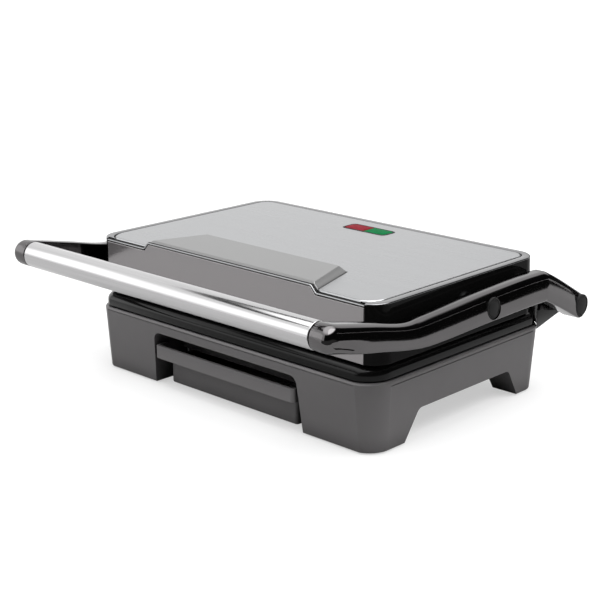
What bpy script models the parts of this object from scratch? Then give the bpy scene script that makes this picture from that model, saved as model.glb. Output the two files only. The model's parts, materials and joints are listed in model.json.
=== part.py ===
"""Contact grill (panini press) with a floating lid on a U-shaped handle.

The base stands on four legs and holds the lower grill plate, its heater and a drip tray that
slides out to the front. The handle is hinged behind the base, and the lid hangs between the
handle's two arms on its own pivots.

Lengths are in millimetres and scaled to metres when a mesh is made. x is 0 in the middle, y is
measured backwards from the lid's front face and z is measured up from the table. The object's
origin lies ORIGIN_Y behind the lid's front face, under the middle of the whole press.
"""

import math

import bmesh
import bpy

MM = 0.001
ORIGIN_Y = 71.6
GAP = 0.3

# Heights
LEG_BOTTOM = 0.9
SKIRT_Z = 21.4
SHOULDER_Z = 47.2
RIM_TOP_Z = 56.6
LID_BOTTOM_Z = 58.0
LID_TOP_Z = 97.2
CREST_TOP_Z = 101.6

# Base plan, at the table and at the shoulder
BASE_LOW = dict(half=129.2, crease=118.8, front=-0.4, rear=177.0, rear_radius=14.0)
BASE_HIGH = dict(half=131.6, crease=117.7, front=-4.8, rear=180.4, rear_radius=16.0)
BASE_WALL = 3.4
BAY_FRONT = 27.0
BAY_FLOOR_Z = 27.0
RIM_INSET = 0.8
RIM_FILLET = 4.2
RIM_SIDE_TOP_Z = 52.4

# Legs and the chute between the front two
FRONT_LEG_INNER = 68.4
FRONT_LEG_DRAFT = 3.0
FRONT_LEG_BACK = 30.2
REAR_LEG_INNER = 106.5
REAR_LEG_FRONT = 152.8
LEG_SLANT = 13.4
LEG_HOLLOW_X = (76.0, 122.0)
LEG_HOLLOW_FRONT = 4.0
LEG_FLOOR_Z = 6.0
CHUTE_TOP_Z = 39.2
CHUTE_BACK = 24.0
CHUTE_RADIUS = 6.0

# Feet: x, y and radius of each pad
FOOT_HEIGHT = 2.8
FOOT_PLACES = {
    "front_right": (98.0, 14.0, 7.0),
    "front_left": (-98.0, 14.0, 7.0),
    "rear_right": (115.6, 161.2, 6.0),
    "rear_left": (-115.6, 161.2, 6.0),
}

# Bottom cover, stepped in plan to pass between the legs, and its screws
COVER_HALVES = (71.0, 121.0, 105.0)
COVER_YS = (29.0, 46.0, 138.0, 169.0)
COVER_THICKNESS = 2.2
COVER_SEAT_Z = 24.2
HATCH = (-101.0, 101.0, 54.0, 158.0)
HATCH_RADIUS = 10.0
SCREW_PLACES = {
    "front_right": (111.0, 56.0),
    "front_left": (-111.0, 56.0),
    "rear_right": (111.0, 128.0),
    "rear_left": (-111.0, 128.0),
}
SCREW_RADIUS = 1.4
VENT_X = (72.0, 99.0)
VENT_COUNT = 5
VENT_START, VENT_PITCH, VENT_WIDTH = 70.0, 14.0, 3.0

# Cord inlet
INLET_X, INLET_Z = -60.0, 36.0
INLET_HOLE = 6.2
INLET_BORE = 3.6
INLET_FLANGE = 9.0

# Lid plan
LID_TOP = dict(half=130.0, crease=120.4, front=0.0, rear=170.4, rear_radius=15.0)
LID_LOW = dict(half=130.8, crease=120.4, front=0.0, rear=171.2, rear_radius=15.0)
PANEL_HALF = 120.4
PANEL_DEPTH = 2.6
CREST_FRONT_HALF, CREST_REAR_HALF = 80.4, 66.0
CREST_FRONT, CREST_REAR = 3.3, 46.6
CREST_SLOPE = 4.2

# Grill plates
PLATE_HALF = 116.3
PLATE_FRONT = 14.0
PLATE_REAR = 156.5
PLATE_RADIUS = 8.0
LOWER_PLATE_BACK_Z = 48.7
UPPER_PLATE_BACK_Z = 66.3
RIB_COUNT = 21
RIB_PITCH = 10.0
SPOUT_HALF = 9.0
SPOUT_Y = (15.8, 23.2)

# Heaters
HEATER_RADIUS = 3.2
HEATER_HALF = 92.0
HEATER_Y = (38.0, 146.0)
HEATER_BEND = 16.0

# Handle and joints
TUBE_Y, TUBE_Z = -54.0, 92.6
TUBE_RADIUS = 8.8
TUBE_WALL = 1.0
TUBE_HALF = 133.0
TIE_ROD_RADIUS = 2.4
TIE_ROD_HALF = 145.4
ARM_IN, ARM_OUT = 136.2, 150.0
ARM_EDGE = 1.8
KNUCKLE_RADIUS = 9.0
HINGE_Y, HINGE_Z = 197.0, 59.3
PIVOT_Y, PIVOT_Z = 93.0, 79.8
EAR_IN, EAR_OUT = 116.0, 131.2
COLLAR_OUT, COLLAR_RADIUS = 135.6, 7.0
HINGE_PIN_RADIUS = 3.0
PIVOT_PIN_RADIUS = 4.0
RUNNING_GAP = 0.1
CAP_RADIUS = 7.8
CAP_SEAT_X = 148.2
CAP_OUT = 150.9
ARM_PATH = [
    # y, z, half height
    (TUBE_Y, TUBE_Z, TUBE_RADIUS),
    (-20.0, 86.0, 8.2),
    (10.0, 80.0, 7.9),
    (34.0, 79.0, 9.0),
    (90.0, 80.7, 9.5),
    (146.0, 81.4, 9.7),
    (160.5, 78.6, 9.5),
    (HINGE_Y, HINGE_Z, KNUCKLE_RADIUS),
]

# Drip tray
TRAY_HALF = 61.0
TRAY_FRONT, TRAY_BACK = 5.2, 118.0
TRAY_Z = (1.8, 20.4)
TRAY_WALL = 1.6
FLANGE_FRONT = 26.0
FLANGE_WIDTH = 4.2
FLANGE_THICKNESS = 2.0
PULL_HALF = 66.3
PULL_FRONT = -4.6
PULL_Z = (21.0, 30.2)
PULL_WALL = 2.2
RAIL_BACK = 122.0
RAIL_Z = (15.4, 21.4)
RAIL_WALL = (1.8, 2.4)

# Indicator window
WINDOW_HALF = 19.2
WINDOW_Y = (138.0, 151.6)

CORNER_SWEEP = math.radians(70)
CORNER_STEPS = 5

PALETTE = {
    "base_shell": ((0.115, 0.110, 0.113), 0.25, 0.42),
    "gloss_black": ((0.010, 0.010, 0.011), 0.0, 0.12),
    "arm_gloss": ((0.035, 0.033, 0.035), 0.0, 0.16),
    "panel_paint": ((0.270, 0.260, 0.262), 0.5, 0.40),
    "crest_paint": ((0.420, 0.420, 0.425), 0.5, 0.42),
    "brushed_steel": ((0.600, 0.610, 0.620), 1.0, 0.30),
    "tube_steel": ((0.640, 0.640, 0.650), 1.0, 0.28),
    "cap_matte": ((0.030, 0.029, 0.030), 0.0, 0.50),
    "nonstick": ((0.020, 0.020, 0.021), 0.2, 0.45),
    "heater_steel": ((0.220, 0.215, 0.205), 1.0, 0.45),
    "reflector": ((0.700, 0.710, 0.720), 1.0, 0.25),
    "zinc": ((0.450, 0.460, 0.470), 1.0, 0.35),
    "ceramic": ((0.780, 0.760, 0.700), 0.0, 0.55),
    "rubber": ((0.015, 0.015, 0.015), 0.0, 0.80),
    "tray_shell": ((0.095, 0.092, 0.094), 0.1, 0.45),
    "red_lens": ((0.450, 0.010, 0.020), 0.0, 0.10),
    "green_lens": ((0.000, 0.300, 0.090), 0.0, 0.10),
    "lamp_glass": ((0.850, 0.800, 0.720), 0.0, 0.05),
}


def clear_scene():
    for obj in list(bpy.data.objects):
        bpy.data.objects.remove(obj, do_unlink=True)


def material(key):
    found = bpy.data.materials.get(key)
    if found:
        return found
    colour, metallic, roughness = PALETTE[key]
    made = bpy.data.materials.new(key)
    made.use_nodes = True
    shader = made.node_tree.nodes["Principled BSDF"]
    shader.inputs["Base Color"].default_value = (*colour, 1.0)
    shader.inputs["Metallic"].default_value = metallic
    shader.inputs["Roughness"].default_value = roughness
    return made


def place(x, y, z):
    """A design point in millimetres as a world point in metres."""
    return (x * MM, (y - ORIGIN_Y) * MM, z * MM)


# ---------------------------------------------------------------- plan outlines


def arc(cx, cy, radius, start, end, steps):
    """Points on a circle from one angle to another, both ends included."""
    turns = [start + (end - start) * i / steps for i in range(steps + 1)]
    return [(cx + radius * math.cos(t), cy + radius * math.sin(t)) for t in turns]


def rounded_rect(x0, x1, y0, y1, radius, steps=3):
    quarter = math.pi / 2
    corners = [
        (x1 - radius, y0 + radius, -quarter),
        (x1 - radius, y1 - radius, 0.0),
        (x0 + radius, y1 - radius, quarter),
        (x0 + radius, y0 + radius, 2 * quarter),
    ]
    points = []
    for cx, cy, start in corners:
        points += arc(cx, cy, radius, start, start + quarter, steps)
    return points


def rect(x0, x1, y0, y1):
    return [(x0, y0), (x1, y0), (x1, y1), (x0, y1)]


def body_outline(half, crease, front, rear, rear_radius, inset=0.0):
    """Plan of the base or the lid: a flat front ending in a crease, then round corners."""
    half -= inset
    crease -= 0.8 * inset
    front += inset
    rear -= inset
    rear_radius -= inset
    radius = (half - crease) / (1 - math.cos(CORNER_SWEEP))
    corner_y = front + radius * math.sin(CORNER_SWEEP)
    right = arc(half - radius, corner_y, radius, -CORNER_SWEEP, 0.0, CORNER_STEPS)
    rear_centre = (half - rear_radius, rear - rear_radius)
    right += arc(*rear_centre, rear_radius, 0.0, math.pi / 2, CORNER_STEPS)
    return right + [(-x, y) for x, y in reversed(right)]


def at_height(outline, z):
    return [(x, y, z) for x, y in outline]


def grown(plan, amount):
    return body_outline(**plan, inset=-amount)


# ---------------------------------------------------------------- solids


def add_solid(name, points, faces, key):
    mesh = bpy.data.meshes.new(name)
    mesh.from_pydata([place(*p) for p in points], [], faces)
    shape = bmesh.new()
    shape.from_mesh(mesh)
    bmesh.ops.recalc_face_normals(shape, faces=shape.faces)
    shape.to_mesh(mesh)
    shape.free()
    mesh.shade_smooth()
    mesh.set_sharp_from_angle(angle=math.radians(35))
    mesh.materials.append(material(key))
    obj = bpy.data.objects.new(name, mesh)
    bpy.context.collection.objects.link(obj)
    return obj


def loft(name, rings, key, closed=False):
    """Skin through rings of equal length. A closed loft is a ring-shaped body with no caps."""
    count = len(rings[0])
    points = [p for ring in rings for p in ring]
    faces = []
    pairs = len(rings) if closed else len(rings) - 1
    for i in range(pairs):
        low, high = i * count, (i + 1) % len(rings) * count
        for j in range(count):
            k = (j + 1) % count
            faces.append((low + j, low + k, high + k, high + j))
    if not closed:
        faces.append(tuple(range(count)))
        faces.append(tuple(range(len(points) - count, len(points))))
    return add_solid(name, points, faces, key)


def prism(name, outline, z0, z1, key):
    return loft(name, [at_height(outline, z0), at_height(outline, z1)], key)


def prism_x(name, outline_yz, x0, x1, key):
    return loft(name, [[(x, y, z) for y, z in outline_yz] for x in (x0, x1)], key)


def prism_y(name, outline_xz, y0, y1, key):
    return loft(name, [[(x, y, z) for x, z in outline_xz] for y in (y0, y1)], key)


def box(name, xs, ys, zs, key):
    return prism(name, rect(*xs, *ys), *zs, key)


def turned(name, profile, centre, axis, key, segments=20, hollow=False):
    """A turned body. The profile holds (position along the axis, radius) pairs."""
    rings = []
    for along, radius in profile:
        ring = []
        for a, b in arc(0, 0, radius, 0, 2 * math.pi, segments)[:-1]:
            offset = {"x": (along, a, b), "y": (a, along, b), "z": (a, b, along)}[axis]
            ring.append(tuple(c + o for c, o in zip(centre, offset)))
        rings.append(ring)
    return loft(name, rings, key, closed=hollow)


def boolean(target, tool, operation):
    tool.hide_render = True
    tool.display_type = "WIRE"
    modifier = target.modifiers.new(tool.name, "BOOLEAN")
    modifier.operation = operation
    modifier.solver = "EXACT"
    modifier.object = tool


def cut(target, *tools):
    for tool in tools:
        boolean(target, tool, "DIFFERENCE")


def join(target, *tools):
    for tool in tools:
        boolean(target, tool, "UNION")


def soften(obj, width, segments=1, angle=50):
    modifier = obj.modifiers.new("edges", "BEVEL")
    modifier.width = width * MM
    modifier.segments = segments
    modifier.limit_method = "ANGLE"
    modifier.angle_limit = math.radians(angle)


def both_sides(build):
    """Builds a mirrored pair: build(name suffix, sign of x)."""
    return [build("right", 1), build("left", -1)]


def ordered(a, b):
    return (min(a, b), max(a, b))


# ---------------------------------------------------------------- base


def base_housing():
    low, high = body_outline(**BASE_LOW), body_outline(**BASE_HIGH)
    rings = [at_height(low, LEG_BOTTOM), at_height(high, SHOULDER_Z)]
    housing = loft("base_housing", rings, "base_shell")
    wall = body_outline(**BASE_HIGH, inset=BASE_WALL)
    bay = [(x, max(y, BAY_FRONT)) for x, y in wall]
    hatch = rounded_rect(*HATCH, HATCH_RADIUS)
    cut(
        housing,
        prism("cut_bay", bay, BAY_FLOOR_Z, SHOULDER_Z + 5, "base_shell"),
        prism("cut_hatch", hatch, SKIRT_Z, BAY_FLOOR_Z + 1, "base_shell"),
        prism("cut_cover_seat", cover_outline(0.0), SKIRT_Z - 1, COVER_SEAT_Z, "base_shell"),
        chute_cutter(),
        spout_slot_cutter(),
        cord_hole_cutter(),
        *leg_cutters(),
        *foot_recess_cutters(),
        *screw_hole_cutters("pilot", SCREW_RADIUS + 0.2),
    )
    return housing


def chute_cutter():
    """The opening between the front legs, closed at the top by rounded corners."""
    corner = (FRONT_LEG_INNER - CHUTE_RADIUS, CHUTE_TOP_Z - CHUTE_RADIUS)
    top = arc(*corner, CHUTE_RADIUS, 0, math.pi / 2, 3)
    right = [(FRONT_LEG_INNER + FRONT_LEG_DRAFT, -3.0)] + top
    outline = right + [(-x, z) for x, z in reversed(right)]
    return prism_y("cut_chute", outline, -12, CHUTE_BACK, "base_shell")


def spout_slot_cutter():
    half = SPOUT_HALF + 1
    ys = (SPOUT_Y[0] - 1, SPOUT_Y[1] + 0.6)
    return box("cut_spout_slot", (-half, half), ys, (CHUTE_TOP_Z - 2, SHOULDER_Z + 2), "base_shell")


def leg_cutters():
    """Everything under the skirt that isn't a leg, and the hollows inside the front legs."""
    slope = LEG_SLANT / SKIRT_Z
    below = 1.0
    arch = [
        (FRONT_LEG_BACK - slope * below, -below),
        (REAR_LEG_FRONT + slope * below, -below),
        (REAR_LEG_FRONT - LEG_SLANT, SKIRT_Z),
        (FRONT_LEG_BACK + LEG_SLANT, SKIRT_Z),
    ]
    channel = FRONT_LEG_INNER + FRONT_LEG_DRAFT
    under = (-2, SKIRT_Z)
    rear = (-REAR_LEG_INNER, REAR_LEG_INNER)
    tools = [
        prism_x("cut_side_arch", arch, -150, 150, "base_shell"),
        box("cut_tray_channel", (-channel, channel), (20, 60), under, "base_shell"),
        box("cut_rear_arch", rear, (130, 190), under, "base_shell"),
    ]
    inner, outer = LEG_HOLLOW_X
    for side in (-1, 1):
        xs = ordered(side * inner, side * outer)
        ys = (LEG_HOLLOW_FRONT, CHUTE_BACK)
        zs = (LEG_FLOOR_Z, SHOULDER_Z + 3)
        tools.append(box(f"cut_leg_hollow_{side}", xs, ys, zs, "base_shell"))
    return tools


def foot_recess_cutters():
    tools = []
    for place_name, (x, y, radius) in FOOT_PLACES.items():
        profile = [(-1.0, radius + GAP), (FOOT_HEIGHT + GAP, radius + GAP)]
        tools.append(turned(f"cut_foot_{place_name}", profile, (x, y, 0), "z", "base_shell", 16))
    return tools


def foot_pads():
    pads = []
    for place_name, (x, y, radius) in FOOT_PLACES.items():
        profile = [(0.0, radius - 0.6), (0.6, radius), (FOOT_HEIGHT, radius)]
        pads.append(turned(f"foot_pad_{place_name}", profile, (x, y, 0), "z", "rubber", 16))
    return pads


def cord_hole_cutter():
    profile = [(165, INLET_HOLE), (185, INLET_HOLE)]
    return turned("cut_cord_hole", profile, (INLET_X, 0, INLET_Z), "y", "rubber")


def cord_inlet_bushing():
    """A flanged grommet, open through its bore where the mains lead would enter."""
    neck = INLET_HOLE - GAP
    inner_face = BASE_HIGH["rear"] - BASE_WALL - GAP
    outer_face = BASE_HIGH["rear"]
    lip, nose = 2.0, 9.0
    profile = [
        (inner_face - lip, INLET_BORE),
        (inner_face - lip, neck + lip),
        (inner_face, neck + lip),
        (inner_face, neck),
        (outer_face, neck),
        (outer_face, INLET_FLANGE),
        (outer_face + 1.8, INLET_FLANGE - 0.6),
        (outer_face + nose, INLET_BORE + 2.2),
        (outer_face + nose, INLET_BORE),
    ]
    centre = (INLET_X, 0, INLET_Z)
    return turned("cord_inlet_bushing", profile, centre, "y", "rubber", hollow=True)


def screw_hole_cutters(label, radius):
    tools = []
    for place_name, (x, y) in SCREW_PLACES.items():
        profile = [(SKIRT_Z - 2, radius), (BAY_FLOOR_Z + 1, radius)]
        tools.append(turned(f"cut_{label}_{place_name}", profile, (x, y, 0), "z", "zinc", 10))
    return tools


def cover_screws():
    """Pan-head screws whose points stand a little above the bay's floor."""
    head_radius, under_head = 3.0, SKIRT_Z
    profile = [
        (under_head - 1.5, head_radius - 0.8),
        (under_head - 1.1, head_radius),
        (under_head, head_radius),
        (under_head, SCREW_RADIUS),
        (BAY_FLOOR_Z + 1.4, SCREW_RADIUS),
        (BAY_FLOOR_Z + 2.6, 0.5),
    ]
    screws = []
    for place_name, (x, y) in SCREW_PLACES.items():
        screws.append(turned(f"cover_screw_{place_name}", profile, (x, y, 0), "z", "zinc", 12))
    return screws


def cover_outline(inset):
    """Plan of the bottom cover: narrow between the front legs, wide amidships, narrower behind."""
    front_half, middle_half, rear_half = (half - inset for half in COVER_HALVES)
    front, step_out, step_in, rear = COVER_YS
    right = [
        (front_half, front + inset),
        (front_half, step_out + inset),
        (middle_half, step_out + inset),
        (middle_half, step_in - inset),
        (rear_half, step_in - inset),
        (rear_half, rear - inset),
    ]
    return right + [(-x, y) for x, y in reversed(right)]


def bottom_cover():
    top = COVER_SEAT_Z - GAP
    cover = prism("bottom_cover", cover_outline(GAP), top - COVER_THICKNESS, top, "base_shell")
    cut(cover, *screw_hole_cutters("clearance", SCREW_RADIUS + 0.4))
    for row in range(VENT_COUNT):
        y = VENT_START + VENT_PITCH * row
        slot = rounded_rect(*VENT_X, y, y + VENT_WIDTH, 1.2, 1)
        mirrored = [(-x, y) for x, y in reversed(slot)]
        for label, outline in (("right", slot), ("left", mirrored)):
            cut(cover, prism(f"cut_vent_{label}_{row}", outline, SKIRT_Z - 2, COVER_SEAT_Z + 2, "base_shell"))
    return cover


def base_rim():
    """Glossy bezel on the shoulder, round along its upper edge, with the plate's opening."""
    side = body_outline(**BASE_HIGH, inset=RIM_INSET)
    rings = [at_height(side, SHOULDER_Z + GAP)]
    steps = 3
    for step in range(steps + 1):
        turn = step / steps * math.pi / 2
        inset = RIM_INSET + RIM_FILLET * (1 - math.cos(turn))
        z = RIM_SIDE_TOP_Z + (RIM_TOP_Z - RIM_SIDE_TOP_Z) * math.sin(turn)
        rings.append(at_height(body_outline(**BASE_HIGH, inset=inset), z))
    opening = plate_opening_outline()
    rings.append(at_height(opening, RIM_TOP_Z))
    rings.append(at_height(opening, SHOULDER_Z + GAP))
    return loft("base_rim", rings, "gloss_black", closed=True)


def plate_opening_outline():
    """Rounded rectangle just outside a grill plate, with as many points as a body outline."""
    clearance = 0.7
    radius = PLATE_RADIUS + clearance
    half = PLATE_HALF + clearance
    front, rear = PLATE_FRONT - clearance, PLATE_REAR + clearance
    right = arc(half - radius, front + radius, radius, -math.pi / 2, 0, CORNER_STEPS)
    right += arc(half - radius, rear - radius, radius, 0, math.pi / 2, CORNER_STEPS)
    return right + [(-x, y) for x, y in reversed(right)]


# ---------------------------------------------------------------- grill plates and heaters


def plate_outline(inset):
    return rounded_rect(
        -PLATE_HALF + inset,
        PLATE_HALF - inset,
        PLATE_FRONT + inset,
        PLATE_REAR - inset,
        PLATE_RADIUS - inset,
    )


def grill_plate(name, back_z, up):
    """A ribbed pan. up is 1 when the ribs point up from the back face, or -1."""
    pan_steps = [(0.0, 1.4), (1.2, 0.0), (8.0, 0.0), (8.0, 2.4), (3.0, 4.4)]
    rings = [at_height(plate_outline(inset), back_z + up * rise) for rise, inset in pan_steps]
    plate = loft(name, rings, "nonstick")
    join(plate, ribs(f"{name}_ribs", back_z, up))
    return plate


def ribs(name, back_z, up):
    """Parallel ribs from front to back, with sloping ends, as one tool of separate bars."""
    foot, crest = (2.0, 2.7), (7.4, 1.3)
    front, rear = PLATE_FRONT + 11.0, PLATE_REAR - 8.0
    points, faces = [], []
    for index in range(RIB_COUNT):
        middle = (index - (RIB_COUNT - 1) / 2) * RIB_PITCH
        start = len(points)
        for y, shift in ((front, 1), (rear, -1)):
            for rise, half in (foot, crest):
                lean = y + shift * (rise - foot[0]) * 0.5
                for side in (-1, 1):
                    points.append((middle + side * half, lean, back_z + up * rise))
        a, b, c, d, e, f, g, h = range(start, start + 8)
        faces += [(a, b, d, c), (e, f, h, g), (a, b, f, e), (c, d, h, g), (a, c, g, e), (b, d, h, f)]
    return add_solid(name, points, faces, "nonstick")


def lower_grill_plate():
    plate = grill_plate("lower_grill_plate", LOWER_PLATE_BACK_Z, 1)
    spout = box(
        "lower_spout", (-SPOUT_HALF, SPOUT_HALF), SPOUT_Y, (37.0, LOWER_PLATE_BACK_Z + 1), "nonstick"
    )
    join(plate, spout)
    bore = (-SPOUT_HALF + 1.6, SPOUT_HALF - 1.6), (SPOUT_Y[0] + 2.6, SPOUT_Y[1] - 1.6)
    cut(plate, box("cut_spout_bore", *bore, (30, 60), "nonstick"))
    return plate


def upper_grill_plate():
    return grill_plate("upper_grill_plate", UPPER_PLATE_BACK_Z, -1)


def heater(name, z):
    """A tubular element bent into an open loop, its two ends meeting at the rear."""
    y0, y1, half, bend = *HEATER_Y, HEATER_HALF, HEATER_BEND
    right = [(18.0, y1)]
    right += reversed(arc(half - bend, y1 - bend, bend, 0, math.pi / 2, 4))
    right += reversed(arc(half - bend, y0 + bend, bend, -math.pi / 2, 0, 4))
    path = right + [(-x, y) for x, y in reversed(right)]
    curve = bpy.data.curves.new(name, "CURVE")
    curve.dimensions = "3D"
    curve.bevel_depth = HEATER_RADIUS * MM
    curve.bevel_resolution = 2
    curve.use_fill_caps = True
    spline = curve.splines.new("POLY")
    spline.points.add(len(path) - 1)
    for point, (x, y) in zip(spline.points, path):
        point.co = (*place(x, y, z), 1.0)
    curve.materials.append(material("heater_steel"))
    obj = bpy.data.objects.new(name, curve)
    bpy.context.collection.objects.link(obj)
    return obj


def reflector_outline(inset):
    return rounded_rect(-104 + inset, 104 - inset, 31 + inset, 152 - inset, 12 - inset)


def reflector(name, far_z, up):
    """A shallow pressed tray round the heater, open in the middle for the thermostat."""
    window = rounded_rect(-24, 24, 70, 114, 6)
    sections = [(0.8, None), (0.8, 4.0), (4.0, 0.8), (4.0, 0.0), (0.0, 3.4), (0.0, None)]
    rings = []
    for rise, inset in sections:
        outline = window if inset is None else reflector_outline(inset)
        rings.append(at_height(outline, far_z + up * rise))
    return loft(name, rings, "reflector", closed=True)


def thermostat(name, plate_z, up):
    """Snap-action disc thermostat against the plate's back face."""
    heights = [(0.3, 8.0), (2.2, 8.0), (2.2, 6.9), (7.0, 6.9)]
    profile = [(plate_z - up * rise, radius) for rise, radius in heights]
    return turned(name, profile, (0, 92, 0), "z", "ceramic", 20)


def thermal_fuse():
    profile = [(30, 0.8), (35, 0.8), (35, 2.1), (47, 2.1), (47, 0.8), (52, 0.8)]
    return turned("thermal_fuse", profile, (0, 92, 44.6), "x", "zinc", 10)


def terminal_block():
    block = box("terminal_block", (-78, -42), (150, 164), (27.4, 37.4), "ceramic")
    for index in range(3):
        x = -70 + 10 * index
        cut(block, turned(f"cut_terminal_{index}", [(148, 2.4), (166, 2.4)], (x, 0, 32.4), "y", "zinc", 10))
    return block


# ---------------------------------------------------------------- hinge ears


def ear_outline():
    """Side view of an ear: a tongue along the base that ends in the hinge knuckle."""
    knuckle = arc(HINGE_Y, HINGE_Z, KNUCKLE_RADIUS, math.radians(-96), math.radians(118), 8)
    top = [(182.0, 64.6), (174.6, 61.4), (173.4, 57.4), (158.0, 57.4)]
    return [(158.0, 48.0), (166.0, 46.6)] + knuckle + top


def hinge_ears():
    """Brackets that hug the base's rear corners and carry the handle behind it."""

    def build(suffix, side):
        name = f"hinge_ear_{suffix}"
        ear = prism_x(name, ear_outline(), *ordered(side * EAR_IN, side * EAR_OUT), "gloss_black")
        collar = [(side * (EAR_OUT - 1), COLLAR_RADIUS), (side * COLLAR_OUT, COLLAR_RADIUS)]
        join(ear, turned(f"ear_collar_{suffix}", collar, (0, HINGE_Y, HINGE_Z), "x", "gloss_black"))
        hull = prism(f"cut_ear_hull_{suffix}", grown(BASE_HIGH, GAP + 0.2), 40, 60, "gloss_black")
        bore_radius = HINGE_PIN_RADIUS + RUNNING_GAP
        bore = turned(
            f"cut_ear_bore_{suffix}",
            [(side * 110, bore_radius), (side * 140, bore_radius)],
            (0, HINGE_Y, HINGE_Z),
            "x",
            "zinc",
        )
        cut(ear, hull, bore)
        return ear

    return both_sides(build)


def hinge_pins():
    def build(suffix, side):
        profile = [
            (side * 113.0, 4.6),
            (side * 115.6, 4.6),
            (side * 115.6, HINGE_PIN_RADIUS),
            (side * 147.6, HINGE_PIN_RADIUS),
        ]
        return turned(f"hinge_pin_{suffix}", profile, (0, HINGE_Y, HINGE_Z), "x", "zinc")

    return both_sides(build)


# ---------------------------------------------------------------- drip tray


def drip_tray():
    """A sliding tray, with side flanges for its rails and a box-shaped pull across the front."""
    (z0, z1), (y0, y1), half = TRAY_Z, (TRAY_FRONT, TRAY_BACK), TRAY_HALF
    wall = TRAY_WALL
    floor_edge = 2.0
    outside = rounded_rect(-half, half, y0, y1, 2.4, 2)
    inside = rounded_rect(-half + wall, half - wall, y0 + wall, y1 - wall, 1.6, 2)
    rings = [
        at_height(rounded_rect(-half + 1, half - 1, y0 + 1, y1 - 1, 2, 2), z0),
        at_height(outside, z0 + floor_edge),
        at_height(outside, z1),
        at_height(inside, z1),
        at_height(inside, z0 + wall),
    ]
    tray = loft("drip_tray", rings, "tray_shell")
    for side in (-1, 1):
        xs = ordered(side * (half - 1), side * (half + FLANGE_WIDTH))
        ys = (FLANGE_FRONT, y1 - 2)
        join(tray, box(f"tray_flange_{side}", xs, ys, (z1 - FLANGE_THICKNESS, z1), "tray_shell"))
    low, high = PULL_Z
    inner = PULL_HALF - PULL_WALL
    wall_ys = (y0, y0 + wall)
    join(
        tray,
        box("tray_front_wall", (-half + 1, half - 1), wall_ys, (z1 - 1, low + 1), "tray_shell"),
        box("tray_pull", (-PULL_HALF, PULL_HALF), (PULL_FRONT, y0 + wall), (low, high), "tray_shell"),
    )
    pocket_ys = (PULL_FRONT + PULL_WALL, y0 + wall + 2)
    cut(tray, box("cut_pull_pocket", (-inner, inner), pocket_ys, (low + wall, high + 1), "tray_shell"))
    return tray


def tray_rails():
    def build(suffix, side):
        inner = TRAY_HALF + 1.0
        outer = TRAY_HALF + FLANGE_WIDTH + 2.2
        low, high = RAIL_Z
        side_wall, ledge = RAIL_WALL
        outline = [
            (side * outer, low),
            (side * outer, high),
            (side * (outer - side_wall), high),
            (side * (outer - side_wall), low + ledge),
            (side * inner, low + ledge),
            (side * inner, low),
        ]
        return prism_y(f"tray_rail_{suffix}", outline, FLANGE_FRONT, RAIL_BACK, "zinc")

    return both_sides(build)


# ---------------------------------------------------------------- lid


def lid_housing():
    """Glossy shell, open below, with a recess for the steel plate and a flat for the panel."""
    inner_low = body_outline(127.2, 118.0, 6.4, 167.8, 12.0)
    recess = body_outline(124.1, 114.3, 2.9, 164.5, 9.3)
    rings = [
        at_height(inner_low, LID_TOP_Z - 3.4),
        at_height(inner_low, LID_BOTTOM_Z),
        at_height(body_outline(**LID_LOW), LID_BOTTOM_Z),
        at_height(body_outline(**LID_TOP), LID_TOP_Z - 2.4),
        at_height(body_outline(**LID_TOP, inset=1.0), LID_TOP_Z - 0.9),
        at_height(body_outline(124.6, 114.8, 2.4, 165.0, 9.8), LID_TOP_Z),
        at_height(recess, LID_TOP_Z - 1.3),
    ]
    housing = loft("lid_housing", rings, "gloss_black")
    flat = PANEL_HALF + GAP
    xs, ys = (-WINDOW_HALF, WINDOW_HALF), WINDOW_Y
    pivot_hole = [(-140, PIVOT_PIN_RADIUS + 0.3), (140, PIVOT_PIN_RADIUS + 0.3)]
    cut(
        housing,
        box("cut_panel_flat", (-flat, flat), (-8, PANEL_DEPTH + GAP), (50, 110), "gloss_black"),
        box("cut_lamp_window", xs, ys, (90, 100), "gloss_black"),
        turned("cut_pivot_holes", pivot_hole, (0, PIVOT_Y, PIVOT_Z), "x", "gloss_black", 20),
    )
    return housing


def lid_bottom_frame():
    """Ring that closes the gap between the lid's wall and the upper grill plate."""
    outer = body_outline(126.8, 117.6, 6.8, 167.4, 11.6)
    opening = plate_opening_outline()
    rings = [
        at_height(outer, LID_BOTTOM_Z + 0.4),
        at_height(outer, LID_BOTTOM_Z + 3.0),
        at_height(opening, LID_BOTTOM_Z + 3.0),
        at_height(opening, LID_BOTTOM_Z + 0.4),
    ]
    return loft("lid_bottom_frame", rings, "gloss_black", closed=True)


def lid_front_panel():
    """Flat painted front, stepped up in the middle to meet the crest."""
    low, high = LID_TOP_Z - 0.4, CREST_TOP_Z - 0.4
    right = [
        (PANEL_HALF, LID_BOTTOM_Z + 0.4),
        (PANEL_HALF, low),
        (CREST_FRONT_HALF - 0.6, low),
        (CREST_FRONT_HALF - CREST_SLOPE - 0.8, high),
    ]
    outline = right + [(-x, z) for x, z in reversed(right)]
    panel = prism_y("lid_front_panel", outline, 0.0, PANEL_DEPTH, "panel_paint")
    soften(panel, 0.5)
    return panel


def crest_outline(inset, rear_inset, back):
    front, rear = CREST_FRONT_HALF - inset, CREST_REAR_HALF - rear_inset
    return [(-front, CREST_FRONT), (front, CREST_FRONT), (rear, back), (-rear, back)]


def lid_crest():
    """Low platform at the front of the lid's top, wider in front and bevelled all round."""
    rings = [
        at_height(crest_outline(0, 0, CREST_REAR), LID_TOP_Z - 1.0),
        at_height(crest_outline(0, 0, CREST_REAR), LID_TOP_Z),
        at_height(crest_outline(CREST_SLOPE, CREST_SLOPE - 0.6, CREST_REAR - 3.8), CREST_TOP_Z),
    ]
    return loft("lid_crest", rings, "crest_paint")


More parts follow.
